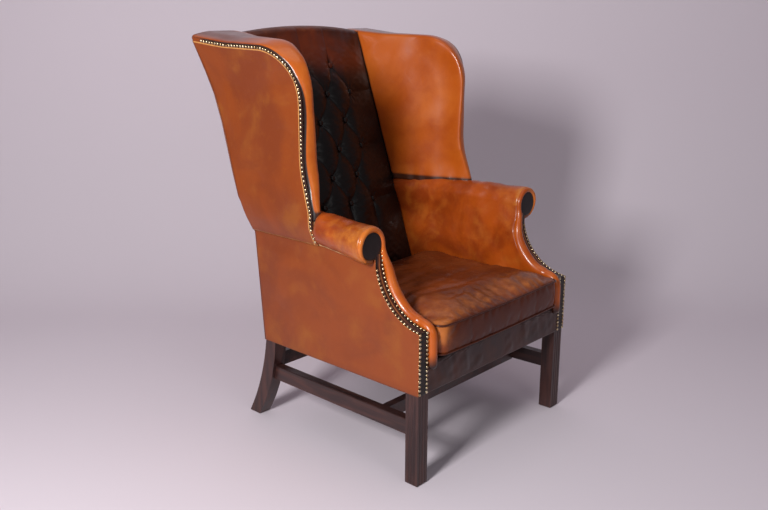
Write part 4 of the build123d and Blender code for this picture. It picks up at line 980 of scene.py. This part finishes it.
def makeArmCover(side):
    # rows up the inside panel, then round the roll; columns from the front rim to the back. The panel leans
    # from the deck's width to the roll, whose radius changes over the depth
    look = armLook
    run = np.linspace(0, 1, look["columns"]) ** 1.15
    rows = np.linspace(0, 1, look["panelRows"], endpoint=False)
    turn = np.radians(np.linspace(180, -97, look["rollRows"]))
    n = look["panelRows"]
    level = look["base"] + rows * (look["rollZ"][0] - look["base"])
    low = armFrontD(level) + 4 + 3 * unit((rows - 0.9) / 0.1)
    front = np.concatenate([low, 0 * turn + look["curveD"] + 7])
    level = np.concatenate([level, look["rearTurn"][0] + look["rearTurn"][1] * np.sin(turn)])
    rear = np.minimum(look["rearD"], rearD(level) - look["rearGap"])[:, None]
    d = front[:, None] + (rear - front[:, None]) * run[None]
    inner = smoothTable(d, look["rollRun"], look["rollInner"])
    radius = np.interp(d, look["rollRun"], look["rollRadius"])
    high = np.interp(d, look["rollRun"], look["rollZ"])
    panel = np.interp(d, *look["panel"])
    x, z = np.empty_like(d), np.empty_like(d)
    z[:n] = look["base"] + rows[:, None] * (high[:n] - look["base"])
    rise = unit((z[:n] - look["panelZ"]) / (chair["kink"] - look["panelZ"]))
    top = unit((z[:n] - look["leanFrom"]) / (high[:n] - look["leanFrom"]))
    ease = look["ease"] * eased(rise)
    x[:n] = (panel[:n] + ease) * (1 - eased(top)) + inner[:n] * eased(top)
    outer = smoothTable(d[n:], look["outerRun"], look["outerRadius"])
    wide = np.where(np.cos(turn)[:, None] < 0, radius[n:], np.minimum(outer, radius[n:]))
    # the cover's front edge meets the edge roll, which thins on its way up
    start, span = look["edgeClimb"][:2]
    thick = look["edgeRadius"] + edgeBulge(z[:n]) - look["edgeThins"] * unit((z[:n] - start) / span)
    meet = look["edgeX"] + edgeSpread(z[:n]) - thick
    back = unit((d[:n] - front[:n, None]) / look["edgeFlow"])
    x[:n] += (np.minimum(meet, x[:n]) - x[:n]) * (1 - eased(back))
    x[n:] = inner[n:] + radius[n:] + wide * np.cos(turn)[:, None]
    z[n:] = high[n:] + radius[n:] * np.sin(turn)[:, None]
    points = stacked(x, d, z)
    # the hide turns in round the front rim
    centre = stacked(look["rimX"], points[:, 0, 1], look["rimZ"])
    pull = centre - points[:, 0]
    mixIn = unit((rows - 0.86) / 0.14)[:, None]
    pull[:n] = np.array([1, 0, 0]) * (1 - mixIn) + pull[:n] / look["rollRadius"][0] * mixIn
    shift = np.array(look["rimIn"])[None, :, None] * unitWay(pull)[:, None]
    shift[..., 1] -= look["rimForward"]
    points = np.concatenate([points[:, :1] + shift, points], 1)
    isRoll = np.concatenate([0 * rows, 1 + 0 * turn])[:, None]
    lean = np.concatenate([0 * rows - 1, np.cos(turn)])[:, None]
    rise = np.concatenate([0 * rows, np.sin(turn)])[:, None]
    fromFront = np.concatenate([np.zeros(5), run])[None]
    ripple = 1.3 * wave(points, 130, 31) + 0.5 * wave(points, 42, 32)
    points = points + stacked(lean, 0, rise) * (ripple * unit(fromFront * 8))[..., None]
    wearAndHighlight = isRoll * unit(0.35 + lean) * unit(0.4 * hump(fromFront, 0.3) + 0.08)
    # painted shade low on the inside panel, where it meets the seat, and on the roll's underside
    dark = 0.75 * unit(1 - (points[..., 2] - look["base"]) / 90) * (1 - isRoll)
    grid = {
        "points": points,
        "inside": stacked(345 + 7 * isRoll, points[..., 1], np.where(isRoll > 0, 632, points[..., 2])),
        "core": look["core"],
        "wearAndHighlight": np.maximum(wearAndHighlight, 0.5 * hump(fromFront, 0.03) * isRoll),
        "dark": unit(dark + 0.8 * isRoll * unit(-0.4 - rise)),
    }
    return surface("arm_cover" + sideWords[side], [grid], leathers["roll"], side)


def makeArmEdge(side):
    # roll up the arm's front edge and round its scroll, thinner as it goes
    look = armLook
    climb = filletPath(look["edgePath"], look["edgeBends"], 4)
    climb = np.column_stack([look["edgeX"] + edgeSpread(climb[:, 1]), climb])
    bend = np.radians(np.linspace(*look["rimTurn"], 60))
    rim = look["rimRadius"] * stacked(np.cos(bend), 0, np.sin(bend))
    rim += [look["rimX"], look["rimD"], look["rimZ"]]
    step = look["edgeStep"]
    edge = resample(softened(resample(np.vstack([climb, rim]), 3), 4), step)
    run = np.arange(len(edge)) * step
    onRim = np.argmin(np.linalg.norm(edge - rim[0], axis=1)) * step
    thin = unit((run - onRim + 130) / 130)
    taper = look["edgeRadius"] + (look["rimThick"] - look["edgeRadius"]) * thin**1.4
    taper += edgeBulge(edge[:, 2]) * (edge[:, 1] > 40)
    taper *= 1 - 0.6 * unit((run - run[-1] + 60) / 60)
    tube, line = tubeGrid(edge, taper, [1, 0, 0], 32)
    tube = tube + (tube - line) * (0.012 * wave(tube, 70, 33))[..., None]
    rubbed = 0.1 + 0.75 * unit((run - onRim - 50) / 50)
    roll = {
        "points": tube,
        "inside": line,
        "wrapColumns": True,
        "wearAndHighlight": np.pad(rubbed, endRings, "edge")[:, None],
        "dark": unit(1 - (tube[..., 2] - 330) / 40) * 0.8,
    }
    return surface("arm_edge_roll" + sideWords[side], [roll], leathers["inside"], side, weld=True)


def makeArmPanel(side):
    # patch between the arm's front curve and the rear edge, flat but for low waves that die out at its rim
    base, high = chair["coverBase"], armLook["panelTop"]
    front = armFrontCurve(chair["hide"], base, high)
    u, v = denser(110, 0.04, 14), np.linspace(0, 1, 110)
    left = spaced(front, v)
    rearZ = base + (high - base) * v
    right = np.column_stack([rearD(rearZ), rearZ])
    bottom = stacked(left[0, 0] + (right[0, 0] - left[0, 0]) * u, base)
    top = stacked(left[-1, 0] + (right[-1, 0] - left[-1, 0]) * u, high)
    flat = coons(left, right, bottom, top, u, v)
    d, z = flat[..., 0], flat[..., 1]
    points = stacked(sideX(d) + chair["hide"], d, z)
    fromEdge = awayFrom(flat, front)
    rim = np.minimum(np.minimum(fromEdge, rearD(z) - d), np.minimum(z - base, high - z))
    swell = 1.2 * wave(points, 200, 41) + 0.3 * wave(points, 75, 42) + 1.0
    points[..., 0] += np.maximum(swell, 0) * unit(rim / 50)
    grid = {
        "points": points,
        "inside": points - [30, 0, 0],
        # lighter along the front edge: wear with a painted highlight; painted shade just under the roll, and
        # darker along the bottom
        "wearAndHighlight": 0.35 * hump(fromEdge, 1.8),
        "dark": 0.25 * unit(1 - (armLook["rollShadeTop"] - z) / 12) + 0.25 * unit(1 - (z - base) / 25),
    }
    return surface("arm_panel" + sideWords[side], [grid], leathers["outer"], side)


facingLook = {
    "innerX": 314,
    "innerNailX": 319,
    "nailRows": (("outer", 567), ("inner", 614)),
    "stripTop": 604,
    "columns": 25,
    "discRings": [0, 8, 16, 24, 31, 35.5, 37.4, 38, 38],
    "discDepths": [148.6, 148.6, 148.7, 148.8, 149.0, 149.3, 149.9, 151, 153.5],
    "discSides": 48,
    "outerGap": 0.4,
    "nailGap": 5,
}


def makeFacing(side):
    # strip of hide down the arm's front, and a disc in the scroll
    look = facingLook
    line = resample(armFrontCurve(chair["hide"], chair["coverBase"], look["stripTop"]), 3)
    out = -inwards(towards(line))  # forwards and up, square to the strip
    share = np.linspace(0, 1, look["columns"])
    outerX = sideX(line[:, :1]) + chair["hide"] - look["outerGap"]
    x = look["innerX"] + (outerX - look["innerX"]) * share[None]
    drop = -1.1 * (np.exp(-share / 0.05) + np.exp(-(1 - share) / 0.05)) + 0.5 * np.sin(np.pi * share)
    places = line[:, None] + out[:, None] * drop[None, :, None]
    strip = stacked(x, places[..., 0], places[..., 1])
    # the upright lower part, which faces forward, gets painted shade
    upper = unit((line[:, 1:] - 420) / 40)
    # painted shade round both nail rows
    rows = hump(share - 0.88, 0.12) + hump(share - 0.12, 0.15)
    ring, depth = np.array(look["discRings"])[:, None], np.array(look["discDepths"])[:, None]
    turn = np.linspace(0, 2 * np.pi, look["discSides"], endpoint=False)
    disc = stacked(armLook["rimX"] + ring * np.cos(turn), depth, armLook["rimZ"] + ring * np.sin(turn))
    grids = [
        {
            "points": strip,
            "inside": strip + [0, 20, -8],
            "dark": unit(rows[None] + 0.75 * (1 - upper)),
            "wearAndHighlight": 0.9 * upper * hump(share - 0.54, 0.07)[None],
        },
        # the disc's dark colour is painted shade in its recess
        {"points": disc, "inside": disc + [0, 20, 0], "wrapColumns": True, "dark": 0.8},
    ]
    return surface("facing" + sideWords[side], grids, leathers["front"], side, weld=True)


def makeFacingNails(side):
    # an outer and an inner row, evenly spaced along the arm's front curve
    line = resample(armFrontCurve(chair["hide"], chair["coverBase"], 700), 1.0)
    way = towards(line)
    at = (np.arange(0.5, 60) * wingLook["nailPitch"]).astype(int)
    at = at[at < len(line) - 1]
    places, outs = [], []
    for row, stop in facingLook["nailRows"]:
        own = at[line[at, 1] < stop]
        spot, out = line[own], -inwards(way[own])
        outerX = sideX(spot[:, 0]) + chair["hide"] - facingLook["nailGap"]
        x = outerX if row == "outer" else facingLook["innerNailX"]
        out = stacked(0.0, out[:, 0], out[:, 1])
        places.append(stacked(x, spot[:, 0], spot[:, 1]) + out * 0.3)
        outs.append(out)
    name = "facing_nail_heads" + sideWords[side]
    return studs(name, np.vstack(places), np.vstack(outs), nailLook, metals["brass"], side)


for side, word in sideWords.items():
    fit(makeArmCover(side), ("inside_arm" + word, "arm_stuffing" + word))
    fit(makeArmEdge(side))
    fit(makeArmPanel(side), ("outside_arm" + word,), thick=chair["hide"])
    fit(makeFacing(side), ("arm_facing" + word,), thick=2.0)
    fit(makeFacingNails(side), ("facing_nails" + word,))
print("arms made")


# Outside back, seat front, platform and the cloth under the seat
rearLook = {
    "heights": [258, 584, 640, 690, 760, 900, 980, 1040, 1085, 1125],
    "halves": [331.5, 330.5, 348, 362, 363, 361, 366, 378, 389, 399],
    "top": 1143,
    "topRise": 3,
    "wingsFrom": 338,
    "wingHalf": 61,
    "wingDrop": 21,
    "crestHalf": 233,
    "crestGap": 7,
    "crestLeast": 1126,
    "crestTuck": 4,
}
borderLook = {
    "half": 324.0,
    "shoulderHalf": 283.0,
    "top": 345,
    "shoulder": 331,
    "tuck": 80,
    "proud": 2.5,
    "bend": 9.5,
}
platformLook = {"run": (60, 556), "level": 343.2, "puff": 1.5, "gap": 3, "core": (0, 300, 334)}
dustLook = {
    "run": (4, 602),
    "level": 258.6,
    "sag": 1.76,
    "gap": 4,
    "legWidth": 44,
    "legD": (46, 558),
    "cornerLift": 0.5,
}


def makeOutsideBack():
    # rows straight across between the back's widths, at the depth of the frame's rear, with low outward waves
    look, base, top = rearLook, rearLook["heights"][0], rearLook["heights"][-1]
    share = np.linspace(-1, 1, 141)
    z = np.linspace(base, top, 160)[:, None]
    x = share[None] * np.interp(z, look["heights"], look["halves"])
    low = stacked(x, rearD(z) + chair["hide"], z)
    # its top edge is level with a slight rise, higher over the crest rail and falling along the wings
    xTop = x[-1]
    half, corner, middle = np.abs(xTop), look["wingsFrom"], np.abs(xTop) < look["crestHalf"]
    level = look["top"] + look["topRise"] * (xTop / corner) ** 2
    wing = look["top"] + look["topRise"] - look["wingDrop"] * (half - corner) / look["wingHalf"]
    crest = np.maximum(crestZ(xTop) - look["crestGap"], look["crestLeast"])
    topZ = np.where(middle, crest, np.where(half < corner, level, wing))
    rise = np.linspace(0, 1, 9)[1:, None]
    highZ = top + rise * (topZ - top)
    high = stacked(xTop, rearD(highZ) + chair["hide"] - look["crestTuck"] * middle * rise**2, highZ)
    points = np.concatenate([low, high])
    side = 1 - np.abs(share)[None]
    edge = unit(side * 9) * unit((points[..., 2] - base) / 40) * unit((1140 - points[..., 2]) / 40)
    swell = 0.8 + 1.2 * wave(points, 190, 51) + 0.4 * wave(points, 60, 52)
    points[..., 1] += np.maximum(swell, 0) * edge
    grid = {
        "points": points,
        "inside": points - [0, 30, 0],
        "dark": 0.35 * unit(1 - (points[..., 2] - base) / 60) + 0.4 * hump(side, 0.02),
    }
    return surface("outside_back_hide", [grid], leathers["outer"])


def makeFrontBorder():
    # a rounded corner profile carried straight across, with low forward waves
    look, base = borderLook, chair["coverBase"]
    corners = [(-look["proud"], base), (-look["proud"], look["top"]), (look["tuck"], look["top"])]
    d, z = filletPath(corners, [look["bend"]], 3).T[..., None]
    x = np.linspace(-1, 1, 181) * np.where(z < look["shoulder"], look["half"], look["shoulderHalf"])
    points = stacked(x, d, z)
    swell = 1.2 + 1.5 * wave(points * [1, 1, 0.4], 90, 61) + 0.5 * wave(points, 30, 62)
    points[..., 1] -= np.clip(swell, 0, 4) * unit((z - base) / 20) * (d < 20)
    points[..., 1] = np.minimum(points[..., 1], d)
    grid = {
        "points": points,
        "inside": points + [0, 30, -30],
        # painted shade: an even darkening, deepest at the top under the cushion's front
        "dark": 0.3 + 0.5 * unit(1 - (look["top"] - z) / 12),
    }
    return surface("front_border_hide", [grid], leathers["front"])


def makePlatform():
    # flat between the arms, with a slight dome: a fourth power across, a sine over the depth
    look = platformLook
    share, d = np.linspace(-1, 1, 60), np.linspace(*look["run"], 50)[:, None]
    x = share * (np.interp(d, *armLook["panel"]) - look["gap"])
    rise = look["puff"] * (1 - share**4) * np.sin(np.pi * (d - d[0]) / (d[-1] - d[0]))
    points = stacked(x, d, look["level"] + rise)
    grid = {"points": points, "inside": points - [0, 0, 30], "core": look["core"]}
    return surface("platform", [grid], cloths["twill"])


def makeDustSheet():
    # flat between the rails, sagging as a parabola across and a sine over the depth
    look = dustLook
    share, d = np.linspace(-1, 1, 50), np.linspace(*look["run"], 45)[:, None]
    x = share * (sideX(d) - look["gap"])
    # lifted a little at the corners, where the legs stand
    front, rear = look["legD"]
    corner = unit((front - d) / 3) + unit((d - rear) / 3)
    lift = look["cornerLift"] * unit((np.abs(x) - sideX(d) + look["legWidth"]) / 3) * corner
    sag = look["sag"] * (1 - share**2) * np.sin(np.pi * (d - d[0]) / (d[-1] - d[0]))
    points = stacked(x, d, look["level"] - sag + lift)
    grid = {"points": points, "inside": points + [0, 0, 30]}
    return surface("dust_sheet", [grid], cloths["cambric"])


fit(makeOutsideBack(), ("outside_back",), thick=chair["hide"])
fit(makeFrontBorder(), ("front_border",), thick=2.0)
fit(makePlatform(), ("platform_cloth", "seat_stuffing"))
dust = fit(makeDustSheet(), ("dust_cover",))
print("outside back, front and platform made")

# Loose cushion: three panels between two welts, puffed by a cloth simulation
cushionLook = {
    "frontHalf": 279,
    "rearHalf": 268,
    "frontD": -19,
    "rearD": 478,
    "frontSwell": 5,
    "draw": 4,
    "corner": 24,
    "lowSeam": 354.3,
    "highSeam": 432.0,
    "base": 345.3,
    "peak": 458,
    "squareness": 3.4,
    "fullness": 0.55,
    "welt": 2.6,
    "across": 84,
    "along": 74,
    "sideRows": 14,
    "frames": 20,
    "cap": 16,
    "sideCap": 2.0,
    "ceiling": 466,
    "middle": (0, 230.0, 400),
    "sideBulge": 2.4,
    "weltSides": 10,
    "weltProud": 1.4,
    "weltCounts": (120, 106),
    "litCorner": (-268, -8, 42),
    "rearShadeFrom": 300,
}
clothLook = {
    "quality": 6,
    "mass": 0.4,
    "tension_stiffness": 20,
    "compression_stiffness": 20,
    "shear_stiffness": 8,
    "bending_stiffness": 6,
    "use_pressure": True,
    "uniform_pressure_force": 4,
    "shrink_min": -0.025,
    "vertex_group_mass": "held",
}
creases = (  # depth from the front, tilt, reach, middle, sink and width of each
    (60, 0.03, 210, 20, 2.0, 9),
    (112, -0.05, 190, -60, 2.8, 11),
    (176, 0.04, 230, 40, 2.4, 12),
    (246, -0.02, 200, -20, 3.0, 14),
    (318, 0.05, 170, 70, 2.2, 11),
    (380, -0.04, 200, -40, 2.0, 12),
)


def cushionSide(kind, inset, t):
    # one bowed side of the plan, t from -1 to 1, anticlockwise from the front left
    look = cushionLook
    front, rear = look["frontD"] + inset, look["rearD"] - inset
    wide, narrow = look["frontHalf"] - inset, look["rearHalf"] - inset
    bow = 1 - t**2
    if kind == 0:
        return stacked(wide * t, front - look["frontSwell"] * bow)
    if kind == 2:
        return stacked(-narrow * t, rear - look["draw"] * bow)
    d = (front + rear) / 2 + (rear - front) / 2 * (t if kind == 1 else -t)
    x = wide + (narrow - wide) * (d - front) / (rear - front) - look["draw"] * bow
    return stacked(x if kind == 1 else -x, d)


def cushionPlan(inset, counts):
    # four sides with rounded corners, each from one mid-corner to the next
    look = cushionLook
    radius = look["corner"]
    t = np.linspace(-1, 1, 60)
    lines = [cushionSide(kind, inset + radius, t) for kind in range(4)]
    chain = [(line, inwards(towards(line))) for line in lines]
    path = []
    for kind in range(4):
        line, out = chain[kind]
        path.append(line + out * radius)
        nextOut = chain[(kind + 1) % 4][1][0]
        start, end = np.arctan2(*out[-1][::-1]), np.arctan2(*nextOut[::-1])
        end += 2 * np.pi * (end < start)
        bend = np.linspace(start, end, 17)
        path.append(line[-1] + radius * stacked(np.cos(bend), np.sin(bend)))
    sides = []
    for kind in range(4):
        before, own, after = path[2 * kind - 1], path[2 * kind], path[2 * kind + 1]
        whole = np.vstack([before[8:], own, after[:9]])
        sides.append(spaced(whole, np.linspace(0, 1, counts[kind % 2])))
    return sides


def readMesh(mesh):
    # chair coordinates in millimetres of a mesh's points
    place = np.empty(len(mesh.vertices) * 3)
    mesh.vertices.foreach_get("co", place)
    place = place.reshape(-1, 3) * 1000
    place[:, 1] -= legFace
    return place


def writeMesh(mesh, place):
    mesh.vertices.foreach_set("co", ((place + [0, legFace, 0]) / 1000).ravel())
    mesh.update()


def makeCushion():
    # top and underside: a patch in plan, raised by a squared-off dome; walls: the plan's rim carried up, with
    # half a sine of bulge. A cloth simulation fills them, then the creases and the marks are put in
    look = cushionLook
    lowSeam, highSeam = look["lowSeam"], look["highSeam"]
    front, right, rear, left = cushionPlan(0, (look["across"], look["along"]))
    u, v = np.linspace(0, 1, look["across"]), np.linspace(0, 1, look["along"])
    plan = coons(left[::-1], right, front, rear[::-1], u, v)  # rows run back, columns run right
    x, d = plan[..., 0], plan[..., 1]
    u, v = 2 * u[None] - 1, 2 * v[:, None] - 1
    dome = ((1 - np.abs(u) ** look["squareness"]) * (1 - np.abs(v) ** look["squareness"])) ** look["fullness"]
    top = stacked(x, d, highSeam + (look["peak"] - highSeam) * dome)
    low = stacked(x, d, lowSeam - (lowSeam - look["base"]) * unit(dome * 3))
    ring = np.vstack([front[:-1], right[:-1], rear[:-1], left[:-1]])
    middle = np.array(look["middle"])
    away = unitWay(ring - middle[:2])
    climb = np.linspace(0, 1, look["sideRows"])[:, None]
    sides = ring[None] + away[None] * (look["sideBulge"] * np.sin(np.pi * climb))[..., None]
    walls = stacked(sides[..., 0], sides[..., 1], lowSeam + climb * (highSeam - lowSeam))
    grids = [
        {"points": top, "inside": middle},
        {"points": walls, "inside": middle, "wrapColumns": True},
        {"points": low, "inside": middle},
    ]
    obj = surface("cushion_body", grids, leathers["seat"], weld=True)
    puff(obj)
    place = creased(readMesh(obj.data))
    writeMesh(obj.data, place)
    # painted shade on the front face away from its corners, along the bottom and over the rear, and a dark
    # line at the top seam; wear on the front edge, and a painted highlight on its front left corner
    x, d, z = place.T
    face = unit((430 - z) / 6) * unit((8 - d) / 10)
    dark = hump(z - highSeam, 4) * 0.5 + 0.6 * unit(1 - (z - 345) / 18)
    dark = np.maximum(dark, face * (0.62 - 0.5 * hump(np.abs(x) - 275, 30)))
    dark = np.maximum(dark, 0.75 * unit((d - look["rearShadeFrom"]) / 180))
    wearAndHighlight = unit((z - 425) / 20) * 0.45 * hump(np.maximum(d, 0), 90)
    # painted highlight round the front left corner
    cornerX, cornerD, wide = look["litCorner"]
    wearAndHighlight = np.maximum(wearAndHighlight, 0.8 * hump(np.hypot(x - cornerX, d - cornerD), wide) * unit((z - 365) / 30))
    for key, mark in (("dark", dark), ("wearAndHighlight", wearAndHighlight)):
        obj.data.attributes[key].data.foreach_set("value", mark.astype(np.float32))
    finer = obj.modifiers.new("finer", "SUBSURF")
    finer.levels = 1
    finer.render_levels = 1
    return obj


def creased(place):
    # long soft creases across the top, and small puckers along the top seam
    x, d, z = place.T
    lift = unit((z - 436) / 14)
    sink = np.zeros(len(x))
    for spot, tilt, span, centre, depth, wide in creases:
        line = spot + tilt * x + 7 * np.sin(x / 47 + spot) + 3 * np.sin(x / 19 + spot)
        gap = (d - line) / wide
        along = np.exp(-(((x - centre) / span) ** 4))
        sink += depth * along * (np.exp(-np.abs(gap) ** 1.5) - 0.35 * np.exp(-((np.abs(gap) - 1.6) ** 2)))
    place = place.copy()
    place[:, 2] -= sink * lift
    place[:, 2] += 1.3 * wave(place, 120, 71) * lift + 0.5 * wave(place, 40, 72) * lift
    near = np.exp(-np.maximum(z - 434, 0) / 9) * (z > 433)
    place[:, 2] += 0.7 * near * (np.sin(x / 3.9) + np.sin(d / 3.9))
    face = (z > 358) & (z < 428) & (d < 20)
    place[:, 1] += face * (0.8 * wave(place, 110, 73)) * np.sin(np.pi * unit((z - 358) / 70))
    return place


def puff(obj):
    # pressure fills the panels; seams and underside are held
    look = cushionLook
    start = readMesh(obj.data)
    z = start[:, 2]
    held = (z < look["lowSeam"] + 0.5) | (np.abs(z - look["highSeam"]) < 0.3)
    group = obj.vertex_groups.new(name=clothLook["vertex_group_mass"])
    group.add([int(i) for i in np.flatnonzero(held)], 1.0, "REPLACE")
    cloth = obj.modifiers.new("cloth", "CLOTH")
    for key, value in clothLook.items():
        setattr(cloth.settings, key, value)
    cloth.settings.effector_weights.gravity = 0
    cloth.collision_settings.use_collision = False
    cloth.point_cache.frame_start = 1
    cloth.point_cache.frame_end = look["frames"]
    scene = bpy.context.scene
    for number in range(1, look["frames"] + 1):
        scene.frame_set(number)
    shaped = obj.evaluated_get(bpy.context.evaluated_depsgraph_get())
    step = readMesh(shaped.data) - start
    size = np.linalg.norm(step, axis=1, keepdims=True)
    isSide = (z > look["lowSeam"] + 0.5) & (z < look["highSeam"] - 0.5)
    cap = np.where(isSide, look["sideCap"], look["cap"])[:, None]
    place = start + step * np.minimum(1, cap / np.maximum(size, 1e-6))
    place[:, 2] = np.minimum(place[:, 2], look["ceiling"])
    obj.modifiers.remove(cloth)
    obj.vertex_groups.clear()
    writeMesh(obj.data, place)
    scene.frame_set(1)
    print("cushion filled, farthest point moved", round(float(size.max()), 1), "mm")


def makeCushionWelts():
    # a circle carried round the plan at each seam
    look = cushionLook
    ring = np.vstack([side[:-1] for side in cushionPlan(-look["weltProud"], look["weltCounts"])])
    grids = []
    for z in (look["lowSeam"], look["highSeam"]):
        path = stacked(ring[:, 0], ring[:, 1], z)
        out = np.cross(unitWay(np.roll(path, -1, 0) - np.roll(path, 1, 0)), [0, 0, 1.0])
        tube = path[:, None] + look["welt"] * circle(out, np.array([[0, 0, 1.0]]), look["weltSides"])
        wraps = {"wrapRows": True, "wrapColumns": True}
        grids.append({"points": tube, "inside": path[:, None], "dark": 0.75, **wraps})
    return surface("cushion_piping", grids, leathers["seat"])


fit(makeCushion(), ("cushion_core", "cushion_cover"), body="cushion")
fit(makeCushionWelts(), ("cushion_welts",), body="cushion")
print("cushion made")


# Studio
studio = {
    "paper": (222, 211, 219),
    "world": (236, 234, 240),
    "worldStrength": 0.22,
    "sweepHalf": 7,
    "sweep": [(-6, 0), (1.75, 0), (1.75, 6)],
    "sweepBend": 0.9,
    "sweepRight": np.array([0.664, -0.748]),
    "sweepBack": np.array([0.748, 0.664]),
    "lamps": {
        "key": ((-2.9, -0.75, 1.8), (0, 0, 0.65), (0.55, 0.8), 98),
        "front": ((-1.0, -3.2, 1.9), (0, 0, 0.6), (1.2, 1.4), 8),
        "top": ((0.0, -0.2, 3.2), (0, 0, 0.6), (1.6, 1.6), 8),
    },
    "camera": {"place": (-1.99152, -1.73147, 1.20572), "back": (-0.72180985, -0.64094552, 0.26111181)},
    "azimuth": -48.396,
    "roll": 0.139,
    "lens": 42.18,
}


def makeSweep():
    # floor that curves up into a backdrop behind the chair, square to the camera
    across = np.linspace(-studio["sweepHalf"], studio["sweepHalf"], 15)
    run, rise = filletPath(studio["sweep"], [studio["sweepBend"]], 0.1).T[..., None]
    x, y = (across * studio["sweepRight"][i] + run * studio["sweepBack"][i] for i in range(2))
    points = stacked(x, y, rise).reshape(-1, 3)
    quads = gridQuads(len(run), len(across))[:, ::-1]
    mesh = bpy.data.meshes.new("sweep")
    mesh.from_pydata(points.tolist(), [], quads.tolist())
    mesh.polygons.foreach_set("use_smooth", np.ones(len(mesh.polygons), bool))
    material, _, shader = blank("studio_paper")
    wire(shader, {"Base Color": tone(*studio["paper"]), "Roughness": 0.9, "Specular IOR Level": 0.1})
    mesh.materials.append(material)
    linked("sweep", mesh)


def aim(obj, place, right, up, back):
    # puts a lamp or camera at a place, turned to three square directions
    obj.matrix_world = Matrix([*np.column_stack([right, up, back, place]), [0, 0, 0, 1]])


def addLamp(name, place, target, size, power):
    # a flat lamp that faces its target
    lamp = bpy.data.lights.new(name, "AREA")
    lamp.shape = "RECTANGLE"
    lamp.size, lamp.size_y = size
    lamp.energy = power
    way = unitWay(np.subtract(target, place))
    right = unitWay(np.cross(way, [0, 0, 1.0]))
    aim(linked(name, lamp), place, right, np.cross(right, way), -way)


def addCamera():
    # level camera on the fitted view line, turned by a small roll
    data = bpy.data.cameras.new("camera")
    data.lens = studio["lens"]
    data.sensor_width = 36
    data.sensor_fit = "HORIZONTAL"
    back = unitWay(np.array(studio["camera"]["back"]))
    turn, roll = np.radians(studio["azimuth"]), np.radians(studio["roll"])
    level = np.array([np.cos(turn), np.sin(turn), 0])
    rise = np.cross(back, level)
    right, up = level * np.cos(roll) + rise * np.sin(roll), rise * np.cos(roll) - level * np.sin(roll)
    obj = linked("camera", data)
    aim(obj, studio["camera"]["place"], right, up, back)
    bpy.context.scene.camera = obj


makeSweep()
for name, (place, target, size, power) in studio["lamps"].items():
    addLamp(name, place, target, size, power)
world = bpy.data.worlds.new("studio")
bpy.context.scene.world = world
world.use_nodes = True
background = world.node_tree.nodes["Background"]
wire(background, {"Color": tone(*studio["world"]), "Strength": studio["worldStrength"]})
addCamera()
bpy.context.scene.view_settings.view_transform = "Standard"
print("studio made")
